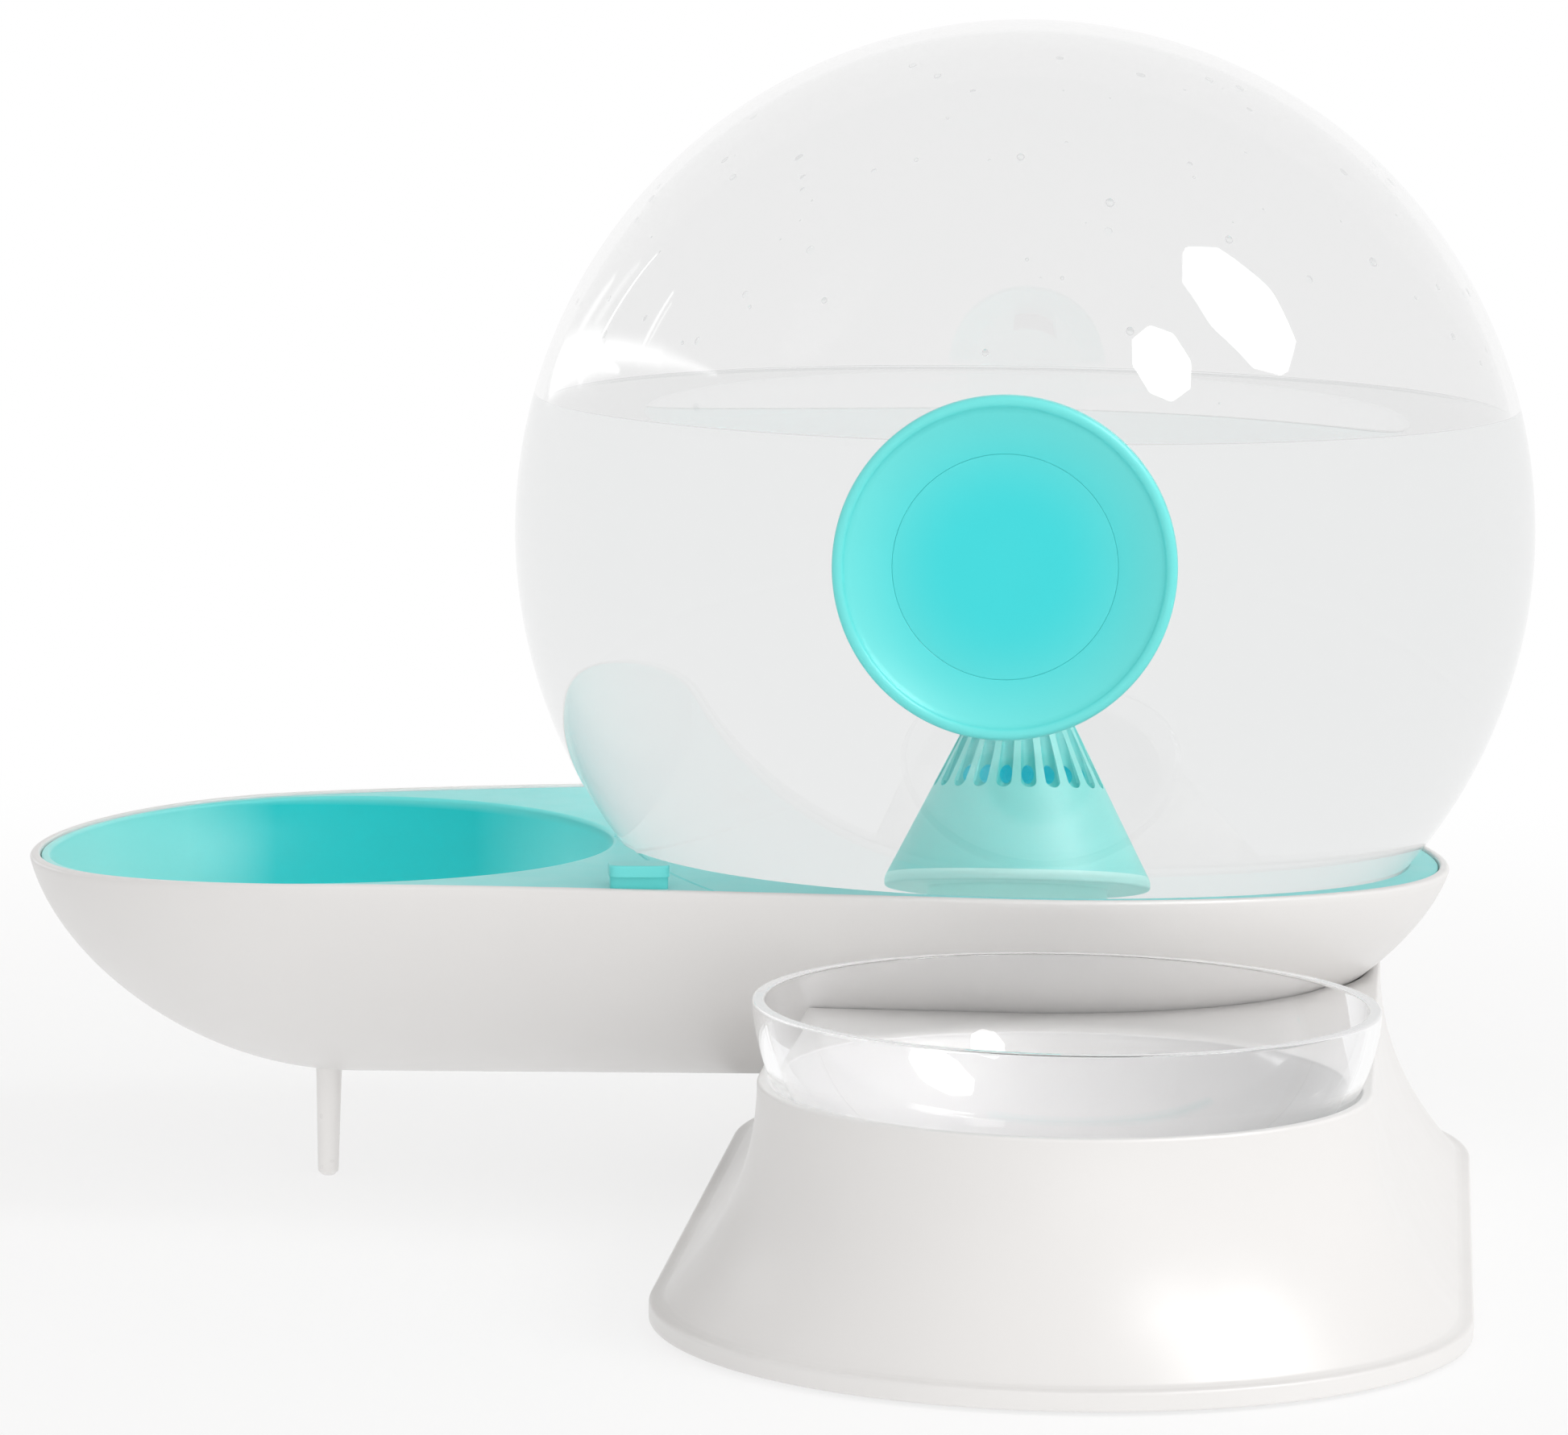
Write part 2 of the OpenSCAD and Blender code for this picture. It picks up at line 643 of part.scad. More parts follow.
// Coil spring between the stem's collar and the guide
module valve_spring() {
    wire_sides = 6;
    per_turn = 14;
    coil_r = stem_r + wire_d / 2 + 0.7;
    low = collar_z + collar_t + wire_d / 2 + close_gap;
    high = guide_z - wire_d / 2 - close_gap;
    total = spring_turns * per_turn;
    points = [for (k = [0:total]) for (j = [0:wire_sides - 1])
        let (a = 360 * k / per_turn, b = 360 * j / wire_sides, r = coil_r + wire_d / 2 * cos(b))
        [r * cos(a), r * sin(a), low + (high - low) * k / total + wire_d / 2 * sin(b)]];
    start = [for (j = [0:wire_sides - 1]) j];
    finish = [for (j = [0:wire_sides - 1]) total * wire_sides + wire_sides - 1 - j];
    sides = [for (k = [0:total - 1]) for (j = [0:wire_sides - 1])
        let (i = (j + 1) % wire_sides, this = k * wire_sides, next = this + wire_sides)
        each [[this + j, next + j, next + i], [this + j, next + i, this + i]]];
    color("silver") at_tank() polyhedron(points, concat([start, finish], sides));
}

// Heights of the cap along the filling opening's axis, from the globe's centre
function cap_top() = sphere_at(cap_r, tank_r) + cap_lip_h;
function cap_disc_top() = cap_top() - cap_dish_depth;
function cap_floor_top() = cap_disc_top() - cap_wall;
function cap_skirt_end() = cap_floor_top() - cap_wall - 2;
function seal_groove() = cap_floor_top() - cap_wall;

// Dished cap with a rolled lip, a skirt for the neck and a groove for its seal
module fill_cap() {
    skirt_out = fill_r - 2 * gap;
    skirt_in = skirt_out - cap_wall;
    lip = 1;
    groove_h = 2;
    groove_r = skirt_out - 0.9;
    pocket_r = cap_disc_r + close_gap * 2;
    under = [for (k = [0:4])
        let (r = skirt_out + (cap_r - 0.2 - skirt_out) * k / 4)
        [r, sphere_at(r, tank_r) + gap]];
    round_lip = [for (a = [0:30:180]) [cap_r - lip + lip * cos(a), cap_top() - lip + lip * sin(a)]];
    color("turquoise") at_fill() rotate_extrude($fn = 120) polygon(concat(
        [[0, cap_floor_top() - cap_wall], [skirt_in, cap_floor_top() - cap_wall],
         [skirt_in, cap_skirt_end()], [skirt_out, cap_skirt_end()], [skirt_out, seal_groove()],
         [groove_r, seal_groove()], [groove_r, seal_groove() + groove_h],
         [skirt_out, seal_groove() + groove_h]],
        under, [[cap_r, under[4][1] + 0.4]], round_lip,
        [[pocket_r, cap_disc_top()], [pocket_r, cap_floor_top()], [0, cap_floor_top()]]));
}

// Disc set into the middle of the cap
module cap_centre() {
    edge = 0.25;
    color("turquoise") at_fill() rotate_extrude($fn = 120)
        polygon([[0, cap_floor_top()], [cap_disc_r, cap_floor_top()], [cap_disc_r, cap_disc_top() - edge],
                 [cap_disc_r - edge, cap_disc_top()], [0, cap_disc_top()]]);
}

// Soft ring in the groove of the cap's skirt
module cap_seal() {
    out_r = fill_r - gap;
    in_r = fill_r - 2 * gap - 0.9 + close_gap;
    low = seal_groove() + close_gap;
    high = seal_groove() + 2 - close_gap;
    color("white") at_fill() rotate_extrude($fn = 120)
        polygon([[in_r, low], [out_r - 0.3, low], [out_r, (low + high) / 2 - 0.4],
                 [out_r, (low + high) / 2 + 0.4], [out_r - 0.3, high], [in_r, high]]);
}

stand_shell();
rubber_feet();
food_bowl();
water_tray();
support_leg();
bowl_insert();
seat_insert();
tank_globe();
strainer_cone();
outlet_seal();
outlet_nut();
valve_stem();
valve_disc();
valve_spring();
fill_cap();
cap_centre();
cap_seal();
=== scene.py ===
import math

import bpy
import numpy as np
from mathutils import Matrix, Vector


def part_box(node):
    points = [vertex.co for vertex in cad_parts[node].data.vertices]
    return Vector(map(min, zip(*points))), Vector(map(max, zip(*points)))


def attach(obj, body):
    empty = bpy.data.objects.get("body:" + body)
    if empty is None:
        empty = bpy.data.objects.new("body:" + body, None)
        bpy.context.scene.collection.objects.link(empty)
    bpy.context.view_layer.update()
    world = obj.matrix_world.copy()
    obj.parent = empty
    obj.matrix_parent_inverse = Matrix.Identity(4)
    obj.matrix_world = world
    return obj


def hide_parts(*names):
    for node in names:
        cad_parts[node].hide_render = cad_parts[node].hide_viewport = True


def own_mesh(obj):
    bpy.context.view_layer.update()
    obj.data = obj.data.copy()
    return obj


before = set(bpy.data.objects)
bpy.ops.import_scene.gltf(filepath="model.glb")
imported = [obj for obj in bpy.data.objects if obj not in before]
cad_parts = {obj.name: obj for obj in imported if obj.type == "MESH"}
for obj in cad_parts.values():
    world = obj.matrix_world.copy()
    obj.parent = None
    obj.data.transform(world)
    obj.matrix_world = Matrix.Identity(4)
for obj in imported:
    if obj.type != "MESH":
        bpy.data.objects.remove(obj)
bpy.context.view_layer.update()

bl_info = {
    "name": "Pet feeding station",
    "version": (1, 0, 0),
    "blender": (4, 5, 0),
    "location": "3D View > Sidebar > Station",
    "description": "Builds the looks of a pet feeding station around its packed parts",
    "category": "Object",
}

# Lengths below are in millimetres, as in the part's own drawing, and become metres in a mesh
MM = 0.001

# Camera of the photograph: its frame's width and focal length in pixels, its angles and its place
PICTURE_WIDTH, FOCAL_PIXELS = 1946, 8938.5
HEADING, PITCH, ROLL = math.radians(5), 0.125894, 0.0152086
CAMERA_PLACE = (-109.505, -1206.562, 242.051)

# Globe and its axis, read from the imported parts
GLOBE_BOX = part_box("tank_globe")
GLOBE_MIDDLE = (GLOBE_BOX[0] + GLOBE_BOX[1]) / 2
GLOBE_LOW, GLOBE_HIGH = (np.array(corner) / MM for corner in GLOBE_BOX)
GLOBE_R = (GLOBE_HIGH[0] - GLOBE_LOW[0]) / 2
GLOBE_C = np.array([GLOBE_MIDDLE[0] / MM, GLOBE_HIGH[1] - GLOBE_R, GLOBE_HIGH[2] - GLOBE_R])
GLOBE_WALL = 2.0
WATER_LEVEL = 138.07

# Filling opening and cap, measured along the opening's axis from the globe's centre
FILL_TURN, FILL_TILT = 8.9, 1.6
FILL_R, NECK_T, NECK_DEPTH = 24.0, 2.2, 7.0
CAP_R, CAP_LIP_H, CAP_DISC_R, CAP_DISH, CAP_WALL = 28.5, 4.4, 18.6, 3.6, 1.6

# Tray and its inserts
RIM_Z, KEEL_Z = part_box("water_tray")[1][2] / MM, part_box("water_tray")[0][2] / MM
KEEL_STERN_R, KEEL_BOW_R = 10.0, 7.0
TRAY_WALL, TRAY_FLOOR, TRAY_POWER = 1.8, 2.2, 1.7
DECK_Z, DECK_T = RIM_Z - 0.4, 2.0
RIM_FALL, CROWN_POWER = 3.6, 3.7
GAP, CLOSE_GAP, STERN_BORDER = 0.3, 0.05, 5.5
STERN_R = math.sqrt((GLOBE_R + GAP) ** 2 - (GLOBE_C[2] - DECK_Z) ** 2) + STERN_BORDER
BOW_R, BOW_RUN = 58.85, 116.5
RECESS_LEN, RECESS_WID, RECESS_RUN, RECESS_DEPTH, RECESS_FLOOR = 49.8, 53.0, 122.0, 30.0, 16.0
INSERT_WALL, SEAT_HOLE_R = 1.5, 34.0
SEAM_RUN, SEAM_R = 69.8, 200.0
LEG_RUN, LEG_R = 122.0, 2.3
PIN_R, PIN_H = 2.5, 1.4
INLET_R, INLET_WIDE, INLET_STEP, INLET_UP = 1.5, 7 / 3, 11, 2.5
TAB_W, TAB_D, TAB_T, TAB_NECK, TAB_POWER = 10.3, 7.0, 2.0, 2.1, 0.42

# Stand and food bowl
STAND_H, STAND_TOP_R, SKIRT_R, PLINTH_R, PLINTH_H = 39.6, 49.4, 64.2, 66.3, 3.8
FLARE, STAND_WALL, STAND_TURN, PEDESTAL_X, BACK_RUN = 2.25, 2.4, 10.0, 15.5, 9.0
BOWL_RUN, BOWL_RIM_R, BOWL_H, BOWL_PROUD, BOWL_BASE_R = 131.2, 50.4, 33.0, 13.2, 22.0
BOWL_WALL, BOWL_POWER = 2.0, 1.8
FOOT_R, FOOT_GAP = 6.0, 0.6

# Outlet of the globe and its strainer
SPIGOT_R, BOSS_R, BOSS_H = 12.7, 19.0, 3.76
STRAINER_LOW, STRAINER_TOP = (corner[2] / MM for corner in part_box("strainer_cone"))
CONE_H, CONE_BASE_R, CONE_TOP_R, CONE_WALL, CONE_BASE_EDGE, CONE_EDGE = 27.5, 17.6, 5.1, 1.6, 1.2, 1.5
SPRING_TURNS, WIRE_D, VALVE_LIFT = 5, 0.8, 2.0
RISER_H, FLANGE_T, FLANGE_R, SPIGOT_WALL = 35.8, 1.8, 17.0, 2.4
CONE_Z = STRAINER_TOP - CONE_H
RISER_Z = CONE_Z - RISER_H
SLOT_COUNT, SLOT_LEN, SLOT_LOW_R, SLOT_HIGH_R = 20, 10.0, 1.12, 0.66
SLOT_Z = STRAINER_TOP - CONE_EDGE - SLOT_LEN - 2.8
POCKET_R, POCKET_LONG, POCKET_DEEP = 0.85, 1.5, 5.6
PORT_R, PORT_Z, PORT_T = 5.5, STRAINER_LOW + 1, 1.2
GUIDE_R, GUIDE_Z, GUIDE_T = 1.8, STRAINER_LOW + 20.6, 1.6
DRAIN_HALF = 4


def shift(x, y, z):
    """4 by 4 matrix that moves by x, y and z."""
    return np.array(Matrix.Translation((x, y, z)))


def turn(degrees, axis):
    """4 by 4 matrix that turns about an axis of the frame."""
    return np.array(Matrix.Rotation(math.radians(degrees), 4, axis))


AT_TANK = shift(GLOBE_C[0], GLOBE_C[1], 0)
AT_GLOBE = shift(*GLOBE_C)
AT_FILL = AT_GLOBE @ turn(-FILL_TURN, "Z") @ turn(90 - FILL_TILT, "X")
AT_STAND = AT_TANK @ shift(PEDESTAL_X, 0, 0) @ turn(-STAND_TURN, "Z")
BOWL_Z = STAND_H + BOWL_PROUD - BOWL_H
AT_BOWL = AT_STAND @ shift(0, -BOWL_RUN, BOWL_Z)


# Surfaces

def draw_in(step, power):
    """Radius fraction of a round-sided form: the cosine of the step's angle to the power 2 / power."""
    return np.cos(np.pi / 2 * step) ** (2 / power)


def draw_down(step, power):
    """Depth fraction of a round-sided form: the sine of the step's angle to the power 2 / power."""
    return np.sin(np.pi / 2 * step) ** (2 / power)


def sphere_at(r, ball_r):
    """Distance from a ball's centre, along an axis, of its surface at radius r from that axis."""
    return np.sqrt(ball_r * ball_r - r * r)


def softened(points, radius, steps=5):
    """Profile with round corners. Each corner becomes a quadratic curve between the two points that
    lie radius away from it along its sides, with one more point a little further out on each side."""
    p = np.asarray(points, float)
    reach = np.broadcast_to(np.asarray(radius, float), len(p))[:, None]
    back, on = np.roll(p, 1, 0) - p, np.roll(p, -1, 0) - p
    len_back, len_on = np.linalg.norm(back, axis=1)[:, None], np.linalg.norm(on, axis=1)[:, None]
    d = np.minimum(reach, 0.36 * np.minimum(len_back, len_on))
    back, on = back / np.maximum(len_back, 1e-9), on / np.maximum(len_on, 1e-9)
    a, b, t = (p + back * d)[:, None], (p + on * d)[:, None], np.linspace(0, 1, steps)[None, :, None]
    curve = (1 - t) ** 2 * a + 2 * t * (1 - t) * p[:, None] + t * t * b
    rows = np.concatenate([(p + back * d * 1.35)[:, None], curve, (p + on * d * 1.35)[:, None]], 1)
    rows[0], rows[-1] = p[0], p[-1]
    rows = rows.reshape(-1, p.shape[1])
    keep = np.linalg.norm(rows - np.roll(rows, 1, 0), axis=1) > 1e-5
    keep[0] = True
    return rows[keep]


# Places round an outline of two circles and the lines that touch both, at 216 points: the share of
# the far circle, the share of the angle where a line touches, and the share of a whole turn
ARC, LINE = np.linspace(0, 1, 96), np.linspace(0, 1, 14)[1:-1]
FAR_SHARE = np.concatenate([0 * ARC, LINE, 0 * ARC + 1, 1 - LINE])
TOUCH_SHARE = np.concatenate([2 * ARC - 1, 0 * LINE + 1, 1 - 2 * ARC, 0 * LINE - 1])
TURN_SHARE = np.concatenate([0 * ARC, 0 * LINE, ARC, 0 * LINE + 1])


def twin_points(near_r, far_r, z, run, far=(-1, 0)):
    """Rings round two circles and the lines that touch both. Radii and heights go by ring and by
    place. A point lies along its normal, at the mix of both radii, from the same mix of the two
    centres; the normal's angle is the touching angle and the turn, each times its share."""
    touch = np.arccos((far_r - near_r) / run)
    angle = touch * TOUCH_SHARE + 2 * np.pi * TURN_SHARE
    r = near_r * (1 - FAR_SHARE) + far_r * FAR_SHARE
    along, side = r * np.cos(angle) - run * FAR_SHARE, r * np.sin(angle)
    x = along * -far[0] + side * far[1]
    y = along * -far[1] - side * far[0]
    return np.stack([x, y, np.broadcast_to(z, x.shape)], 2)


def twin_rings(profile, run, far=(-1, 0)):
    """Level rings round two circles, for rows of a near radius, a far radius and a height."""
    near_r, far_r, z = np.asarray(profile, float).T[:, :, None]
    return twin_points(near_r, far_r, z, run, far)


def round_rings(profile, count=192):
    """Rings about the z axis with a radius and a height for each row."""
    r, z = np.asarray(profile, float).T[:, :, None]
    a = 2 * np.pi * np.arange(count)[None, :] / count
    x = r * np.cos(a)
    return np.stack([x, r * np.sin(a), np.broadcast_to(z, x.shape)], 2)


def grid_faces(rows, cols, loop=False, ring=True):
    """Faces between neighbours in rows of points. In a loop the last row joins the first, and in a
    ring the last point of each row joins its first."""
    i, j = np.meshgrid(np.arange(rows - (not loop)), np.arange(cols - (not ring)), indexing="ij")
    i, j = i.ravel(), j.ravel()
    up, on = (i + 1) % rows, (j + 1) % cols
    return np.stack([i * cols + j, i * cols + on, up * cols + on, up * cols + j], 1)


def solid(name, rings, place=None, loop=False, sharp=40):
    """Closed mesh through rings of points, placed by a matrix. The last ring joins the first in a
    loop, and otherwise each end is closed by triangles to the middle of its ring."""
    rows, cols = rings.shape[:2]
    points = rings.reshape(-1, 3)
    quads = grid_faces(rows, cols, loop).tolist()
    if not loop:
        points = np.concatenate([points, rings[0].mean(0)[None], rings[-1].mean(0)[None]])
        c, n = np.arange(cols), (np.arange(cols) + 1) % cols
        first, last = np.full(cols, rows * cols), np.full(cols, rows * cols + 1)
        end = (rows - 1) * cols
        quads += np.stack([n, c, first], 1).tolist() + np.stack([end + c, end + n, last], 1).tolist()
    if place is not None:
        points = points @ place[:3, :3].T + place[:3, 3]
    return outward(mesh_object(name, points, quads), sharp)


def placed(name, data):
    """New object with its data, in the scene."""
    obj = bpy.data.objects.new(name, data)
    bpy.context.scene.collection.objects.link(obj)
    return obj


def mesh_object(name, points, faces):
    """New object with a mesh of points, in millimetres, and faces between them."""
    mesh = bpy.data.meshes.new(name)
    mesh.from_pydata((points * MM).tolist(), [], faces)
    return placed(name, mesh)


def outward(obj, sharp):
    """Turns the faces outwards where the volume inside them is negative: a sum over triangles of
    the product of their three corners. The shading becomes smooth."""
    mesh = obj.data
    mesh.calc_loop_triangles()
    co = np.empty(len(mesh.vertices) * 3)
    mesh.vertices.foreach_get("co", co)
    tri = np.empty(len(mesh.loop_triangles) * 3, np.int32)
    mesh.loop_triangles.foreach_get("vertices", tri)
    a, b, c = co.reshape(-1, 3)[tri.reshape(-1, 3)].transpose(1, 0, 2)
    if (a * np.cross(b, c)).sum() < 0:
        mesh.flip_normals()
    return smooth(obj, sharp)


def smooth(obj, sharp=40):
    """Smooth shading, with edges sharper than an angle kept."""
    obj.data.shade_smooth()
    obj.data.set_sharp_from_angle(angle=math.radians(sharp))
    return obj


def combine(obj, other, operation="DIFFERENCE", sharp=40):
    """Cuts another solid from obj, adds it or keeps what both share. The other one is used up."""
    mod = obj.modifiers.new("shape", "BOOLEAN")
    mod.object, mod.operation, mod.solver = other, operation, "MANIFOLD"
    bpy.context.view_layer.update()
    made = bpy.data.meshes.new_from_object(obj.evaluated_get(bpy.context.evaluated_depsgraph_get()))
    if not made.polygons:
        raise RuntimeError(f"{obj.name}: nothing is left after {operation} with {other.name}")
    obj.modifiers.remove(mod)
    old, obj.data = obj.data, made
    made.name = obj.name
    bpy.data.meshes.remove(old)
    bpy.data.meshes.remove(other.data)
    return smooth(obj, sharp)


def rod(name, r, low, high, place=None, count=96, edge=0.0):
    """Cylinder about the z axis of a place, with round edges."""
    side = softened([[0, low], [r, low], [r, high], [0, high]], edge)[1:-1]
    return solid(name, round_rings(side, count), place)


def finish(obj, material):
    """Gives an object its material."""
    obj.data.materials.clear()
    obj.data.materials.append(material)


def finish_piece(obj, material, body, slot, *nodes):
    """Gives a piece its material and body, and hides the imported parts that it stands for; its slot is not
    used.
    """
    finish(obj, material)
    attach(obj, body)
    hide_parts(*nodes)


def finish_node(node, material):
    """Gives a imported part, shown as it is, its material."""
    finish(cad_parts[node], material)


# Materials

# Bends and reflections after which a ray in clear plastic or water counts as lost, and after which teal
# seen through the water takes a painted pale glow, and how bright the pale grey glow is that each ends in
LAST_BEND, GLOW_BEND = 5.5, 2.5
PALE, GLOW_PALE = 0.81, 0.98

# Refraction of plastic and water against air, and of plastic against the water round it
PLASTIC_BENDS, WATER_BENDS, WET_BENDS = 1.5, 1.333, 1.118


class Look:
    """Node tree of a new material, or of a world, with short ways to add a node and to join two."""

    def __init__(self, name, kind="materials"):
        self.made = getattr(bpy.data, kind).new(name)
        self.made.use_nodes = True
        self.tree = self.made.node_tree
        self.tree.nodes.clear()
        self.place = self.add("TexCoord")

    def add(self, kind, inputs=None, **settings):
        """New node of a kind, with settings and with values for its unjoined inputs."""
        node = self.tree.nodes.new("ShaderNode" + kind)
        for key, value in settings.items():
            setattr(node, key, value)
        for key, value in (inputs or {}).items():
            node.inputs[key].default_value = value
        return node

    def join(self, source, out, target, into):
        """Joins one node's output to another node's input."""
        self.tree.links.new(source.outputs[out], target.inputs[into])

    def noise(self, scale, detail):
        """Noise on Object coordinates; the scale is in waves per metre."""
        node = self.add("TexNoise", {"Scale": scale, "Detail": detail})
        self.join(self.place, "Object", node, "Vector")
        return node

    def spread(self, source, low, high):
        """Maps a noise's usual range to low and high."""
        node = self.add("MapRange", {"From Min": 0.35, "From Max": 0.65, "To Min": low, "To Max": high})
        self.join(source, "Fac", node, "Value")
        return node

    def rough(self, scale, detail, low, high, shader):
        """Roughness between low and high, by a noise."""
        self.join(self.spread(self.noise(scale, detail), low, high), "Result", shader, "Roughness")

    def bump(self, source, height, target):
        """Bump of a height by a noise, for a shader or a finer bump."""
        node = self.add("Bump", {"Strength": 1.0, "Distance": height})
        self.join(source, "Fac", node, "Height")
        self.join(node, "Normal", target, "Normal")
        return node

    def maths(self, operation, *terms):
        """Math node. A term is a number, or a node and the name or place of its output."""
        node = self.add("Math", operation=operation)
        for at, term in enumerate(terms):
            if isinstance(term, tuple):
                self.join(*term, node, at)
            else:
                node.inputs[at].default_value = term
        return node

    def mix(self, factor, out, first, second):
        """Shader between two, by a factor."""
        node = self.add("MixShader")
        self.join(factor, out, node, 0)
        self.join(first, 0, node, 1)
        self.join(second, 0, node, 2)
        return node

    def mix_colour(self, factor, out, first, second, shader):
        """Base colour between two, by a factor."""
        node = self.add("Mix", {6: (*first, 1), 7: (*second, 1)}, data_type="RGBA")
        self.join(factor, out, node, "Factor")
        self.join(node, 2, shader, "Base Color")
        return node

    def end(self, shader, lamps_pass=None, glow_through_water=None):
        """Joins the shader to the output. With a colour, light from lamps passes as through clear plastic,
        and a ray that was bent many times ends in a pale grey glow that stands for the surroundings. With a
        glow through water, from 0 to 1, the surface takes a paler grey glow where it shows through the
        water: painted light that washes it out."""
        if lamps_pass or glow_through_water:
            ray = self.add("LightPath")
            # A ray that met a dull surface on its way doesn't count as bent
            bends = self.maths("MULTIPLY_ADD", (ray, "Diffuse Depth"), -100.0, (ray, "Ray Depth"))
            lost = self.maths("GREATER_THAN", (bends, 0), GLOW_BEND if glow_through_water else LAST_BEND)
            # Painted pale glow where the surface shows through the water
            if glow_through_water:
                share = self.maths("MULTIPLY", (lost, 0), glow_through_water)
                lost = self.maths("MULTIPLY", (share, 0), (ray, "Is Transmission Ray"))
            pale = self.add("Emission", {"Strength": GLOW_PALE if glow_through_water else PALE})
            shader = self.mix(lost, 0, shader, pale)
        if lamps_pass:
            clear = self.add("BsdfTransparent", {"Color": (*lamps_pass, 1)})
            shader = self.mix(ray, "Is Shadow Ray", shader, clear)
        self.join(shader, 0, self.add("OutputMaterial"), "Surface")
        return self.made


def tinted(colour, amount):
    """A colour with each part multiplied by an amount and kept from 0 to 1."""
    return tuple(min(1.0, c * amount) for c in colour)


def moulded_plastic(name, colour, roughness, glow=0.0, specular=0.5, sheen=0.0, glow_through_water=None, painted_light=None):
    """Moulded plastic: a faint cloudiness in the colour, a slow wave and a fine grain in the surface.
    A glow stands for the light that comes through a thin translucent wall, and a sheen for the
    satin of a fine-grained surface seen from the side."""
    look = Look(name)
    shader = look.add("BsdfPrincipled", {
        "IOR": 1.49, "Emission Color": (*colour, 1), "Emission Strength": glow,
        "Specular IOR Level": specular, "Sheen Weight": sheen, "Sheen Roughness": 0.35})
    cloud = look.spread(look.noise(14, 2), 0, 1)
    look.mix_colour(cloud, "Result", tinted(colour, 0.985), tinted(colour, 1.015), shader)
    # Painted light and shade in the colour, where a function for it is given
    if painted_light:
        painted_light(look, shader)
    look.rough(160, 3, roughness - 0.03, roughness + 0.03, shader)
    grain = look.bump(look.noise(900, 2), 0.000004, shader)
    look.bump(look.noise(45, 1), 0.000012, grain)
    return look.end(shader, glow_through_water=glow_through_water)


def recess_painted_light(look, shader):
    """Painted light and shade in the drinking recess along the tray: painted light makes it pale at the
    bow, painted shade makes it deep in the middle, and it is lighter again towards the globe. The deck
    above it keeps the teal of the other pieces."""
    parts = look.add("SeparateXYZ")
    look.join(look.place, "Object", parts, "Vector")
    along = look.add("MapRange", {"From Min": -0.13, "From Max": -0.03})
    look.join(parts, "X", along, "Value")
    ramp = look.add("ValToRGB")
    look.join(along, "Result", ramp, "Fac")
    stops = ramp.color_ramp.elements
    # Pale stops are painted light at the bow and towards the globe; the deep stops between them are painted
    # shade
    stops[0].position, stops[0].color = 0.10, (0.32, 0.87, 0.84, 1)
    stops[1].position, stops[1].color = 0.94, (0.17, 0.86, 0.85, 1)
    stops.new(0.26).color = (0.24, 0.82, 0.80, 1)
    for deep in (0.42, 0.78):
        stops.new(deep).color = (0.015, 0.635, 0.65, 1)
    below = look.add("MapRange", {"From Min": (DECK_Z - 0.9) * MM, "From Max": (DECK_Z - 2.0) * MM})
    look.join(parts, "Z", below, "Value")
    mix = look.mix_colour(below, "Result", colours().teal, (0, 0, 0), shader)
    look.join(ramp, "Color", mix, 7)


def clear_look(name, tint, passes, bends=PLASTIC_BENDS, waves=22, ripple=0.00002):
    """Clear moulded plastic or water, with a slow ripple; light from lamps passes through it."""
    look = Look(name)
    shader = look.add("BsdfPrincipled", {
        "Base Color": (*tint, 1), "IOR": bends, "Transmission Weight": 1.0, "Roughness": 0.0})
    look.bump(look.noise(waves, 1), ripple, shader)
    return look.end(shader, passes)


def dished_plastic(name, lit_rim_colour, middle_colour):
    """Teal plastic of the cap, painted paler towards the rim: painted light that stands for light through
    the thin rim. The colour goes by the distance from the opening's axis."""
    look = Look(name)
    shader = look.add("BsdfPrincipled", {"IOR": 1.49})
    inverse = Matrix(AT_FILL.tolist()).inverted()
    turn_back = look.add("Mapping", {"Location": inverse.to_translation() * MM,
                                     "Rotation": inverse.to_euler("XYZ")})
    look.join(look.place, "Object", turn_back, "Vector")
    flat = look.add("VectorMath", {1: (1, 1, 0)}, operation="MULTIPLY")
    look.join(turn_back, "Vector", flat, 0)
    far = look.add("VectorMath", operation="LENGTH")
    look.join(flat, "Vector", far, 0)
    ramp = look.add("MapRange", {"From Min": 0.008, "From Max": 0.034}, interpolation_type="SMOOTHSTEP")
    look.join(far, "Value", ramp, "Value")
    look.mix_colour(ramp, "Result", middle_colour, lit_rim_colour, shader)
    look.rough(160, 3, 0.37, 0.43, shader)
    look.bump(look.noise(900, 2), 0.000004, shader)
    return look.end(shader)


def rubber(name, colour):
    """Soft rubber, dull, with a fine grain."""
    look = Look(name)
    shader = look.add("BsdfPrincipled", {"IOR": 1.5, "Specular IOR Level": 0.3})
    cloud = look.spread(look.noise(60, 3), 0, 1)
    look.mix_colour(cloud, "Result", colour, tinted(colour, 0.9), shader)
    look.rough(400, 2, 0.6, 0.75, shader)
    look.bump(look.noise(1200, 2), 0.00001, shader)
    return look.end(shader)


def spring_steel(name):
    """Drawn steel wire, with fine changes in its gloss."""
    look = Look(name)
    shader = look.add("BsdfPrincipled", {"Metallic": 1.0})
    drawn = look.spread(look.noise(300, 2), 0, 1)
    look.mix_colour(drawn, "Result", (0.55, 0.55, 0.56), (0.66, 0.66, 0.67), shader)
    look.rough(900, 2, 0.2, 0.35, shader)
    return look.end(shader)


# Sizes and colours that a user may change

def length(name, description, default):
    """Property for a length."""
    return bpy.props.FloatProperty(name=name, description=description, default=default,
                                   min=0.0, unit="LENGTH", subtype="DISTANCE")


def colour(name, description, default):
    """Property for a colour."""
    return bpy.props.FloatVectorProperty(name=name, description=description, default=default,
                                         size=3, min=0.0, max=1.0, subtype="COLOR")


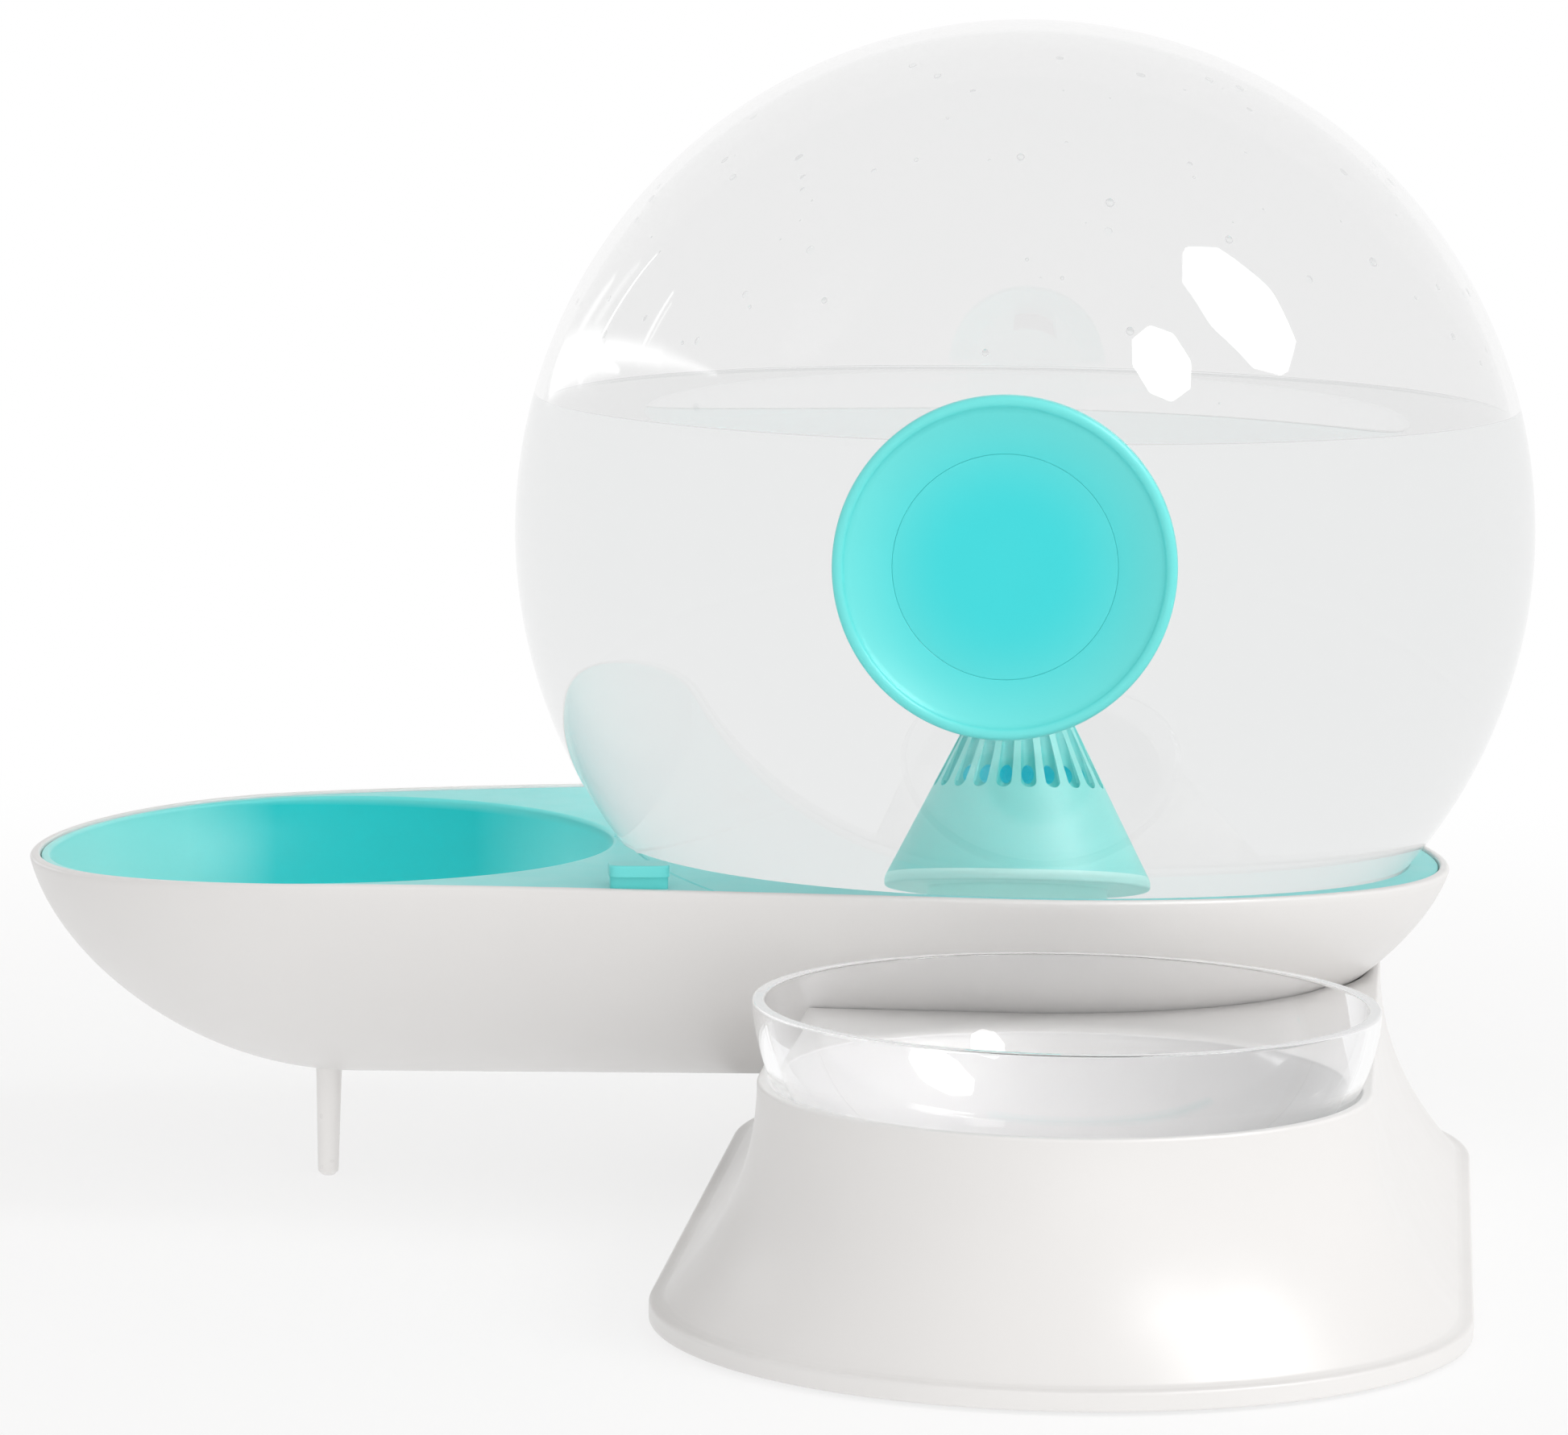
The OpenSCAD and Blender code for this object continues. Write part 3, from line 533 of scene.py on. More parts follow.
class StationSizes(bpy.types.PropertyGroup):
    """Sizes of the station's looks."""

    water_level: length("Water level", "Height of the globe's water above the floor", WATER_LEVEL * MM)
    drop_size: length("Drop size", "Radius of the largest drop on the globe's inside", 0.0009)
    drop_count: bpy.props.IntProperty(name="Drops", description="Number of drops above the water",
                                      default=90, min=0, max=400)


class StationColours(bpy.types.PropertyGroup):
    """Colours of the station's materials."""

    shell: colour("Shell", "White plastic of the stand and tray", (0.80, 0.79, 0.78))
    teal: colour("Teal", "Teal plastic of the inserts and strainer", (0.17, 0.76, 0.745))
    strainer: colour("Strainer", "Pale teal plastic of the strainer", (0.31, 0.92, 0.87))
    # Paler rim colour: painted light through the thin rim
    cap_lit_rim: colour("Cap's rim", "Teal plastic at the cap's rim", (0.18, 0.79, 0.76))
    cap_middle: colour("Cap's middle", "Teal plastic at the cap's middle", (0.031, 0.71, 0.74))
    globe: colour("Globe", "Tint of the clear globe", (0.915, 0.915, 0.915))
    bowl: colour("Food bowl", "Tint of the clear food bowl", (0.985, 0.985, 0.99))
    water: colour("Water", "Tint of the water", (0.985, 0.995, 0.995))


def sizes():
    return bpy.context.scene.station_sizes


def colours():
    return bpy.context.scene.station_colours


def white_plastic(name="white_plastic"):
    """Plastic of the stand and tray, made at its first use."""
    return bpy.data.materials.get(name) or moulded_plastic(name, colours().shell, 0.36)


def teal_plastic(name="teal_moulding", painted_light=None):
    """Plastic of the inserts, made at its first use. Painted light and shade, when given as a function,
    change its colour from place to place, and where it is seen through the water it takes a painted pale
    glow.
    """
    return bpy.data.materials.get(name) or moulded_plastic(
        name, colours().teal, 0.42, specular=0.28, sheen=0.3, glow_through_water=0.8, painted_light=painted_light)


# Forms of the tray

STEPS = np.linspace(1, 0, 33)


def both_radii(f, side_t):
    """Stern's and bow's radius of the tray's form, drawn in by side_t, at a radius fraction."""
    return (KEEL_STERN_R + (STERN_R - side_t - KEEL_STERN_R) * f,
            KEEL_BOW_R + (BOW_R - side_t - KEEL_BOW_R) * f)


def tray_side(side_t, floor_t):
    """Rows of the tray's form from its keel to its rim: both radii go by draw_in, the height by
    draw_down."""
    z = RIM_Z - (RIM_Z - KEEL_Z - floor_t) * draw_down(STEPS, TRAY_POWER)
    return np.stack([*both_radii(draw_in(STEPS, TRAY_POWER), side_t), z], 1)


def drawn_at(z, top, depth):
    """Radius fraction at heights z: draw_in at the step for which draw_down, times the form's depth,
    is the distance below its top."""
    deep = np.clip((top - z) / depth, 0, 1) ** (TRAY_POWER / 2)
    return (1 - deep ** 2) ** (1 / TRAY_POWER)


def crown_fall(x):
    """How far the tray's rim lies below its crown, at a distance x from the globe's axis: the rim's
    whole fall times a power of the distance from the tray's middle over half its length."""
    middle, half = (STERN_R - BOW_RUN - BOW_R) / 2, (STERN_R + BOW_RUN + BOW_R) / 2 + 1
    return RIM_FALL * np.abs((x - middle) / half) ** CROWN_POWER


def tray_radii(z, side_t, floor_t):
    """Both radii of the tray's form at heights z."""
    return both_radii(drawn_at(z, RIM_Z, RIM_Z - KEEL_Z - floor_t), side_t)


def crown_line(side_t, floor_t, crest):
    """Heights, round the tray's outline, where its form meets the crowned surface under a crest."""
    z = np.full((1, len(FAR_SHARE)), crest)
    for _ in range(4):
        near, other = tray_radii(z, side_t, floor_t)
        z = crest - crown_fall(twin_points(near, other, z, BOW_RUN)[:, :, 0])
    return z


def tray_shell(side_t, floor_t, edge, inward):
    """Rings of the tray's form from its keel to its crowned rim, where a quarter round of an edge's
    radius leads inward, or outward with -1, to the rim's flat."""
    top = crown_line(side_t, floor_t, RIM_Z)
    low = KEEL_Z + floor_t
    rise = 1 - draw_down(np.linspace(1, 0, 40), TRAY_POWER)[:, None]
    z = low + (top - edge - low) * rise
    near, other = tray_radii(z, side_t, floor_t)
    a = np.linspace(0, np.pi / 2, 7)[1:, None]
    step = -inward * edge * (1 - np.cos(a))
    lip = twin_points(near[-1:] + step, other[-1:] + step, top - edge + edge * np.sin(a), BOW_RUN)
    return np.concatenate([twin_points(near, other, z, BOW_RUN), lip])


def crowned_plate(name, side_t, crest, thick):
    """Plate with the tray's outline drawn in by side_t, a crowned top and bottom and a round top
    edge. Rings shrink towards the line between the two centres, and each point sinks by
    crown_fall."""
    top = crown_line(side_t, TRAY_FLOOR, crest)
    base = top - thick
    near, other = tray_radii(top, side_t, TRAY_FLOOR)
    near_low, other_low = tray_radii(np.maximum(base, crest - 6), side_t, TRAY_FLOOR)
    a, edge = np.linspace(0, np.pi / 2, 6)[:, None], 0.35
    inset, drop = edge * (1 - np.cos(a)), edge * (1 - np.sin(a))
    shrink = np.linspace(1, 0.02, 28)[:, None]
    floor = twin_points(near_low * shrink[::-1], other_low * shrink[::-1], base, BOW_RUN)
    side = twin_points(near - inset, other - inset, top - drop, BOW_RUN)
    roof = twin_points((near - edge) * shrink[1:], (other - edge) * shrink[1:], top, BOW_RUN)
    floor[:, :, 2] = crest - thick - crown_fall(floor[:, :, 0])
    roof[:, :, 2] = crest - crown_fall(roof[:, :, 0])
    return solid(name, np.concatenate([floor, side, roof]), AT_TANK)


def recess_rings(wall, foot, edge=0.0):
    """Rings of the drinking recess from its floor up to the crowned deck less a foot: ovals that
    grow by draw_in. With an edge, a quarter round of that radius opens the mouth, and the rings go
    on above the deck."""
    a = 2 * np.pi * np.arange(220)[None, :] / 220
    ratio = RECESS_WID / RECESS_LEN

    def ovals(z, grow=0.0):
        f = drawn_at(z, DECK_Z, RECESS_DEPTH)
        half = RECESS_FLOOR + (RECESS_LEN - RECESS_FLOOR) * f
        x = -RECESS_RUN * f - (BOW_RUN + 3) * (1 - f)
        return x + (half + wall + grow) * np.cos(a), (half * ratio + wall + grow) * np.sin(a)

    top = np.full(a.shape, DECK_Z)
    for _ in range(4):
        top = DECK_Z - foot - crown_fall(ovals(top)[0])
    low = DECK_Z - RECESS_DEPTH
    rise = 1 - draw_down(np.linspace(1, 0, 34), TRAY_POWER)[:, None]
    z = low + (top - edge - low) * rise
    rings = [np.stack([*ovals(z), z], 2)]
    if wall:
        base = np.full(a.shape, low)
        rings.insert(0, np.stack([*ovals(base), base - wall], 2))
    if edge:
        b = np.linspace(0, np.pi / 2, 7)[1:, None]
        z = top - edge + edge * np.sin(b)
        x, y = ovals(top - edge, edge * (1 - np.cos(b)))
        rings.append(np.stack([x, y, z], 2))
        rings.append(rings[-1][-1:] + np.array([0, 0, 6.0]))
    return np.concatenate(rings)


class STATION_OT_tray(bpy.types.Operator):
    """Builds the white tray and the peg under its bow"""

    bl_idname = "station.tray"
    bl_label = "Tray and peg"

    def execute(self, context):
        outer = tray_shell(0, 0, 0.7, 1)
        inner = tray_shell(TRAY_WALL, TRAY_FLOOR, 0.45, -1)
        tray = solid("tray_hull", np.concatenate([outer, inner[::-1]]), AT_TANK)
        pin_top = KEEL_Z + TRAY_FLOOR + PIN_H
        combine(tray, rod("pin", PIN_R, KEEL_Z + 1.1, pin_top, AT_TANK, 48, 0.3), "UNION")
        at_leg = AT_TANK @ shift(-LEG_RUN, 0, 0)
        plug_top = KEEL_Z + TRAY_FLOOR * 0.65
        hole = rod("leg_hole", LEG_R / 2 + CLOSE_GAP, KEEL_Z - 2, plug_top + CLOSE_GAP, at_leg)
        combine(tray, hole)
        finish_piece(tray, white_plastic(), "station", "white_shell", "water_tray")
        tip = LEG_R * 0.8
        side = [[0, 0], [tip - 0.8, 0], [tip, 0.8], [LEG_R, KEEL_Z - 0.02], [LEG_R / 2, KEEL_Z - 0.02],
                [LEG_R / 2, plug_top], [0, plug_top]]
        leg = solid("peg_leg", round_rings(softened(side, 0.2)[1:-1], 64), at_leg)
        # Paler than the shell: painted light that stands for light from the front on the peg
        lit_peg = moulded_plastic("peg_painted_light", tinted(colours().shell, 1.12), 0.3)
        finish_piece(leg, lit_peg, "station", "white_peg", "support_leg")
        return {"FINISHED"}


def skirt_at(z):
    """Radius of the stand's skirt: from the plinth's to the top's by a power of the height left."""
    return STAND_TOP_R + (SKIRT_R - STAND_TOP_R) * (1 - (z - PLINTH_H) / (STAND_H - PLINTH_H)) ** FLARE


def stand_rows(wall, roof, low):
    """Rows of the stand's form, drawn in by a wall and lowered by a roof: plinth, crease and skirt."""
    z = PLINTH_H + 0.4 + (STAND_H - roof - PLINTH_H - 0.4) * np.linspace(0, 1, 22) ** 1.1
    r = skirt_at(np.minimum(z, STAND_H)) - wall
    plinth = [[PLINTH_R - wall - 6, low], [PLINTH_R - wall, low], [PLINTH_R - wall, PLINTH_H - 0.1],
              [SKIRT_R - wall + 0.5, PLINTH_H + 0.05]]
    rows = np.concatenate([plinth, np.stack([r, z], 1), [[r[-1] - 6, z[-1]]]])
    reach = np.zeros(len(rows))
    reach[[1, 2, 3, 4, -2]] = 0.5, 0.9, 0.3, 0.5, 0.6
    return softened(rows, reach, 6)[:, [0, 0, 1]]


def stand_form(name, wall, roof, low):
    """Solid between the stand's two round ends."""
    place = AT_STAND @ shift(0, BACK_RUN, 0)
    return solid(name, twin_rings(stand_rows(wall, roof, low), BOWL_RUN + BACK_RUN, far=(0, -1)), place)


def bowl_rows(margin, floor_t):
    """Rows of the food bowl's side from its base to its rim: the radius goes by draw_in."""
    r = BOWL_BASE_R + (BOWL_RIM_R + margin - BOWL_BASE_R) * draw_in(STEPS, BOWL_POWER)
    return np.stack([r, BOWL_H - (BOWL_H - floor_t) * draw_down(STEPS, BOWL_POWER)], 1)


def feet_places():
    """Places of the four feet under the stand's ends."""
    side, reach = PLINTH_R * 0.66, PLINTH_R * 0.42
    return [AT_STAND @ shift(x, y, 0) for x in (-side, side) for y in (-BOWL_RUN - reach, BACK_RUN + reach)]


def cup_cutter(edge):
    """The food bowl's outside with its gap, opened by a quarter round at the stand's top and carried
    on above it."""
    rows, level = bowl_rows(GAP, 0), STAND_H - BOWL_Z
    at_top = np.interp(level, rows[:, 1], rows[:, 0])
    a = np.linspace(0, np.pi / 2, 6)
    lip = np.stack([at_top + edge * (1 - np.cos(a)), level + edge * (np.sin(a) - 1)], 1)
    below = rows[rows[:, 1] < level - edge * 1.2]
    rows = np.concatenate([below, lip, [[at_top + edge, level + 2.0]]])
    return solid("cup", round_rings(rows), AT_BOWL)


def cradle_cutter(margin, over):
    """The tray's outside, larger by a margin and carried on above its rim."""
    side = tray_side(-margin, -margin)
    side = np.concatenate([side, [[side[-1, 0], side[-1, 1], RIM_Z + over]]])
    return solid("cradle", twin_rings(side, BOW_RUN), AT_TANK)


class STATION_OT_stand(bpy.types.Operator):
    """Builds the stand: flared skirt on a plinth, cup for the food bowl and cradle for the tray"""

    bl_idname = "station.stand"
    bl_label = "Stand"

    def execute(self, context):
        hollow = stand_form("hollow", STAND_WALL, STAND_WALL, -2)
        cup_wall = bowl_rows(GAP + STAND_WALL, -STAND_WALL)
        cup_wall = np.concatenate([cup_wall, [[cup_wall[-1, 0], BOWL_H + 5]]])
        combine(hollow, solid("cup_wall", round_rings(cup_wall), AT_BOWL))
        combine(hollow, cradle_cutter(GAP + STAND_WALL, 5))
        for place in feet_places():
            combine(hollow, rod("boss", FOOT_R + 2, -3, FOOT_GAP + 6, place, 48))
        stand = stand_form("stand_moulding", 0, 0, FOOT_GAP)
        combine(stand, hollow)
        combine(stand, cup_cutter(0.45))
        combine(stand, cradle_cutter(GAP, 3))
        for place in feet_places():
            combine(stand, rod("socket", FOOT_R + CLOSE_GAP, -2, FOOT_GAP + 1, place, 48))
        finish_piece(stand, white_plastic(), "station", "white_shell", "stand_shell")
        finish_node("rubber_feet", rubber("grey_rubber", (0.55, 0.55, 0.56)))
        return {"FINISHED"}


class STATION_OT_food_bowl(bpy.types.Operator):
    """Builds the clear food bowl with its thin round rim"""

    bl_idname = "station.food_bowl"
    bl_label = "Food bowl"

    def execute(self, context):
        outer, inner = bowl_rows(0, 0), bowl_rows(-BOWL_WALL, BOWL_WALL)[::-1]
        rows = np.concatenate([outer, inner])
        reach = np.zeros(len(rows))
        reach[len(outer) - 1:len(outer) + 1] = 0.9
        bowl = solid("food_cup_clear", round_rings(softened(rows, reach, 6), 224), AT_BOWL)
        clear = clear_look("clear_bowl", colours().bowl, (0.98, 0.98, 0.98))
        finish_piece(bowl, clear, "station", "clear_plastic", "food_bowl")
        return {"FINISHED"}


def finger_tab():
    """Plate on a narrower neck at the front edge of the deck: rounded rectangles at rising heights."""
    flank = (STERN_R - BOW_R) / BOW_RUN
    tab_x = -SEAM_RUN - TAB_W / 2 + 3.4
    edge_y = -(STERN_R + flank * tab_x - TRAY_WALL - GAP)
    wide, deep, neck_wide, neck_deep = TAB_W / 2, TAB_D / 2, TAB_W / 2 - 0.2, TAB_D * 0.35
    half = [[neck_wide, neck_deep, -DECK_T / 2], [neck_wide, neck_deep, TAB_NECK],
            [wide, deep, TAB_NECK + 0.01], [wide, deep, TAB_NECK + TAB_T],
            [wide - 1.5, deep - 1.5, TAB_NECK + TAB_T]]
    half = softened(half, [0, 0.15, 0.1, 0.4, 0], 5)
    a = 2 * np.pi * (np.arange(96) + 0.5) / 96
    c, s = (np.sign(v) * np.abs(v) ** TAB_POWER for v in (np.cos(a), np.sin(a)))
    x = half[:, :1] * c
    rings = np.stack([x, half[:, 1:2] * s, np.broadcast_to(half[:, 2:], x.shape)], 2)
    return solid("tab", rings, AT_TANK @ shift(tab_x, edge_y + deep, DECK_Z))


def seam_block(edge, margin=0.0):
    """Round block whose side is the seam between the inserts, by an edge wider above the deck."""
    r = SEAM_R + margin
    rows = [[r, DECK_Z - 60], [r, DECK_Z - abs(edge)], [r + edge, DECK_Z + 0.05], [r + edge, DECK_Z + 80]]
    return solid("seam", round_rings(rows, 1080), AT_TANK @ shift(SEAM_R - SEAM_RUN, 0, 0))


def arc(r, a):
    """Rows of a circle about the z axis, at angles from its lowest point."""
    return np.stack([r * np.sin(a), -r * np.cos(a)], 1)


def ball(radius):
    """Ball about the globe's centre: rings at even angles from pole to pole."""
    return solid("ball", round_rings(arc(radius, np.linspace(0.004, np.pi - 0.004, 128)), 256), AT_GLOBE)


class STATION_OT_inserts(bpy.types.Operator):
    """Builds the teal insert with the drinking recess and finger tab, and the globe's seat"""

    bl_idname = "station.inserts"
    bl_label = "Inserts"

    def execute(self, context):
        edge_t = TRAY_WALL + GAP
        insert = crowned_plate("drinking_insert", edge_t, DECK_Z, DECK_T)
        combine(insert, solid("recess_wall", recess_rings(INSERT_WALL, 1.0), AT_TANK), "UNION")
        combine(insert, finger_tab(), "UNION")
        combine(insert, solid("recess", recess_rings(0, 0, 0.8), AT_TANK))
        combine(insert, seam_block(0.25, GAP))
        combine(insert, ball(GLOBE_R + GAP))
        for y in (-INLET_STEP, 0, INLET_STEP):
            at = AT_TANK @ shift(-BOW_RUN + 10, y, DECK_Z - RECESS_DEPTH + INLET_UP) @ turn(90, "Y")
            combine(insert, rod("inlet", INLET_R, 0, RECESS_LEN, at @ np.diag([1, INLET_WIDE, 1, 1]), 24))
        # Drinking recess with painted light and shade along it; the deck keeps plain teal
        painted_recess = teal_plastic("recess_painted_light_plastic", recess_painted_light)
        finish_piece(insert, painted_recess, "station", "teal_plastic", "bowl_insert")

        seat = crowned_plate("globe_seat", edge_t, DECK_Z, DECK_T)
        dish = ball(GLOBE_R + GAP + INSERT_WALL)
        below = crowned_plate("dish_room", edge_t, DECK_Z - DECK_T / 2, DECK_Z - DECK_T / 2)
        combine(dish, below, "INTERSECT")
        combine(seat, dish, "UNION")
        combine(seat, ball(GLOBE_R + GAP))
        combine(seat, rod("seat_hole", SEAT_HOLE_R, 0, GLOBE_C[2], AT_TANK))
        combine(seat, seam_block(-0.25), "INTERSECT")
        finish_piece(seat, teal_plastic(), "station", "teal_plastic", "seat_insert")
        return {"FINISHED"}


class STATION_OT_globe(bpy.types.Operator):
    """Builds the clear globe with its filling neck and the boss of its outlet"""

    bl_idname = "station.globe"
    bl_label = "Globe"

    def execute(self, context):
        inner_r = GLOBE_R - GLOBE_WALL
        neck_out = FILL_R + NECK_T
        foot = sphere_at(neck_out, GLOBE_R) - NECK_DEPTH
        steps = 150
        a = np.linspace(0.005, np.pi - math.asin(FILL_R / GLOBE_R), steps)
        b = np.linspace(np.pi - math.asin(neck_out / inner_r), 0.005, steps)
        neck = [[FILL_R, foot], [neck_out, foot]]
        rows = np.concatenate([arc(GLOBE_R, a), neck, arc(inner_r, b)])
        reach = np.zeros(len(rows))
        reach[steps - 1:steps + 3] = 0.6, 0.7, 0.7, 0.6
        globe = solid("water_globe", round_rings(softened(rows, reach), 224), AT_FILL, sharp=60)
        low = GLOBE_C[2] - GLOBE_R
        combine(globe, rod("boss", BOSS_R, low, low + BOSS_H, AT_TANK, 96), "UNION", 30)
        combine(globe, rod("outlet", SPIGOT_R + GAP, low - 5, low + BOSS_H + 5, AT_TANK, 96), sharp=30)
        clear = clear_look("clear_globe", colours().globe, (0.96, 0.96, 0.96))
        finish_piece(globe, clear, "station", "clear_plastic", "tank_globe")
        neck_clear = clear_look("clear_neck", (0.97, 0.97, 0.97), (0.95, 0.95, 0.95), WET_BENDS)
        globe.data.materials.append(neck_clear)
        marked(globe, AT_FILL, 1, lambda r, z: (r < neck_out + 0.4) & (r > FILL_R + 0.2) & (z > foot - 1)
               & (np.hypot(r, z) < inner_r - 0.05))
        return {"FINISHED"}


class STATION_OT_water(bpy.types.Operator):
    """Fills the globe with water up to its level and puts drops on the wall above it"""

    bl_idname = "station.water"
    bl_label = "Water and drops"

    def execute(self, context):
        wet_r = GLOBE_R - GLOBE_WALL + 0.15
        level = sizes().water_level / MM - GLOBE_C[2]
        climb = 0.4
        top = level + climb
        a = np.linspace(0.13, np.pi - math.acos(top / wet_r), 150)
        edge = sphere_at(top, wet_r)
        away = np.array([0.06, 0.14, 0.26, 0.42, 0.65, 1.0, 1.5, 2.4, 4.0, 8.0])
        curve = np.stack([edge - away, level + climb * np.exp(-away / 0.45)], 1)
        rows = np.concatenate([arc(wet_r, a), curve, [[30.0, level], [2.0, level]]])
        water = solid("tank_water", round_rings(rows, 224), AT_GLOBE, sharp=60)
        plug_foot = sphere_at(CAP_R, GLOBE_R) + CAP_LIP_H - CAP_DISH - 3 * CAP_WALL - 1.8
        combine(water, rod("cap_room", FILL_R + 0.2, plug_foot, GLOBE_R + 10, AT_FILL, 128), sharp=60)
        wet = clear_look("water", colours().water, (0.97, 0.985, 0.985), WATER_BENDS, 30, 0.00001)
        finish_piece(water, wet, "station", "clear_plastic")
        drops = self.drops(level)
        if drops is not None:
            finish_piece(drops, wet, "station", "clear_plastic")
        return {"FINISHED"}

    def drops(self, level):
        """Low domes on the globe's inner wall: each is a ring pattern laid in the wall's own plane
        at a random place, with a random size."""
        count = sizes().drop_count
        if not count:
            return None
        dice = np.random.default_rng(7)
        inner_r = GLOBE_R - GLOBE_WALL
        height = dice.uniform(level + 6, inner_r * 0.97, count)
        around = dice.uniform(0, 2 * np.pi, count)
        flat = np.sqrt(inner_r ** 2 - height ** 2)
        out = np.stack([flat * np.cos(around), flat * np.sin(around), height], 1) / inner_r
        side = np.cross(out, [0.0, 0.0, 1.0])
        side /= np.linalg.norm(side, axis=1)[:, None]
        up = np.cross(side, out)
        size = sizes().drop_size / MM * dice.uniform(0.3, 1.0, count) ** 1.6
        ring_n, drop_n = 10, 32
        j = np.arange(ring_n)
        ring = 2 * np.pi * j / ring_n
        radii = np.array([1.0, 0.86, 0.5])
        lift = np.array([-0.12, 0.3, 0.52])
        x = (radii[:, None] * np.cos(ring)).ravel()
        y = (radii[:, None] * np.sin(ring)).ravel() * 1.15
        z = np.repeat(lift, ring_n)
        x, y, z = (np.append(v, [0, 0]) for v in (x, y, z))
        z[-2:] = -0.12, 0.62
        base = out * (inner_r + 0.02)
        points = (base[:, None] + size[:, None, None] * (x[None, :, None] * side[:, None]
                  + y[None, :, None] * up[:, None] - z[None, :, None] * out[:, None]))
        n, last = (j + 1) % ring_n, 2 * ring_n
        fans = np.concatenate([np.stack([n, j, np.full(ring_n, drop_n - 2)], 1),
                               np.stack([last + j, last + n, np.full(ring_n, drop_n - 1)], 1)])
        start = (np.arange(count) * drop_n)[:, None, None]
        faces = [(each[None] + start).reshape(-1, each.shape[1]).tolist()
                 for each in (grid_faces(3, ring_n), fans)]
        points = points.reshape(-1, 3) + GLOBE_C
        return outward(mesh_object("condensation_drops", points, faces[0] + faces[1]), 60)


class STATION_OT_cap(bpy.types.Operator):
    """Builds the dished cap with its rolled lip, the disc in its middle and its seal"""

    bl_idname = "station.cap"
    bl_label = "Filling cap"

    def execute(self, context):
        top = sphere_at(CAP_R, GLOBE_R) + CAP_LIP_H
        disc_top = top - CAP_DISH
        floor = disc_top - CAP_WALL
        skirt, lip = FILL_R - 2 * GAP, 1.0
        groove = floor - CAP_WALL
        pocket = CAP_DISC_R + 2 * CLOSE_GAP
        under_r = np.linspace(skirt, CAP_R - 0.2, 7)
        under = np.stack([under_r, sphere_at(under_r, GLOBE_R) + GAP], 1)
        a = np.radians(np.linspace(0, 170, 14))
        roll = np.stack([CAP_R - lip + lip * np.cos(a), top - lip + lip * np.sin(a)], 1)
        t = np.linspace(0.12, 1, 10)
        dish = roll[-1] * (1 - t[:, None]) + np.array([pocket, disc_top]) * t[:, None]
        dish[:, 1] -= 0.35 * np.sin(np.pi * t)
        inner = [[0, groove], [skirt - CAP_WALL, groove], [skirt - CAP_WALL, groove - 2],
                 [skirt, groove - 2], [skirt, groove], [skirt - 0.9, groove], [skirt - 0.9, groove + 2],
                 [skirt, groove + 2]]
        rows = np.concatenate([inner, under, [[CAP_R, under[-1, 1] + 0.4]], roll, dish,
                               [[pocket, floor], [0, floor]]])
        reach = np.zeros(len(rows))
        reach[1:8] = 0.15
        reach[-3:-1] = 0.1
        cap = solid("filling_cap", round_rings(softened(rows, reach, 4)[1:-1], 224), AT_FILL, sharp=50)
        teal = dished_plastic("cap_plastic", colours().cap_lit_rim, colours().cap_middle)
        finish_piece(cap, teal, "cap", "teal_plastic", "fill_cap")
        disc_r = CAP_DISC_R + 1.7 * CLOSE_GAP
        disc_side = [[0, floor], [disc_r, floor], [disc_r, disc_top], [0, disc_top]]
        disc = solid("cap_disc", round_rings(softened(disc_side, 0.12)[1:-1], 224), AT_FILL)
        finish_piece(disc, teal, "cap", "teal_plastic", "cap_centre")
        finish_node("cap_seal", rubber("white_rubber", (0.8, 0.8, 0.79)))
        return {"FINISHED"}


def cone_at(z):
    """Radius of the strainer's cone at a height."""
    low, high = CONE_Z + CONE_BASE_EDGE, STRAINER_TOP - CONE_EDGE
    return CONE_BASE_R + (CONE_TOP_R - CONE_BASE_R) * (z - low) / (high - low)


def round_tank(turned, out, z, lean=0):
    """Place at an angle round the tank's axis, at a distance from it and a height, leaning outward."""
    return AT_TANK @ turn(turned, "Z") @ shift(out, 0, z) @ turn(lean, "Y")


def slot_groove(turned):
    """Cutter of one slot: a round groove that starts shallow near the cone's top and runs deeper
    into the cone, down to a round end."""
    low_r, high_r = cone_at(SLOT_Z) - 1.0, cone_at(SLOT_Z + SLOT_LEN) + 0.3
    tilt = math.degrees(math.atan2(low_r - high_r, SLOT_LEN))
    run = math.hypot(low_r - high_r, SLOT_LEN)
    a = np.radians(np.linspace(-85, 0, 7))
    side = np.stack([SLOT_LOW_R * np.cos(a), SLOT_LOW_R * np.sin(a)], 1)
    top = [[SLOT_HIGH_R, run], [SLOT_HIGH_R * 0.5, run + SLOT_HIGH_R]]
    place = round_tank(turned, low_r, SLOT_Z + SLOT_LOW_R, -tilt)
    return solid("groove", round_rings(np.concatenate([side, top]), 20), place)


def slot_pocket(turned):
    """Cutter of the hole at a slot's lower end, longer than it is wide."""
    z = SLOT_Z + 2.1
    place = round_tank(turned, cone_at(z) - 6.2, z, 90)
    return rod("pocket", POCKET_R, 0, POCKET_DEEP, place @ np.diag([POCKET_LONG, 1, 1, 1]), 24)


def marked(obj, place, index, inside):
    """Gives the second or a later material to the faces whose middles, seen from a place, lie inside:
    a test of the distance from its axis and the height."""
    middles = np.empty(len(obj.data.polygons) * 3)
    obj.data.polygons.foreach_get("center", middles)
    back = np.linalg.inv(place)
    local = middles.reshape(-1, 3) / MM @ back[:3, :3].T + back[:3, 3]
    given = np.empty(len(obj.data.polygons), np.int32)
    obj.data.polygons.foreach_get("material_index", given)
    given[inside(np.hypot(local[:, 0], local[:, 1]), local[:, 2])] = index
    obj.data.polygons.foreach_set("material_index", given)


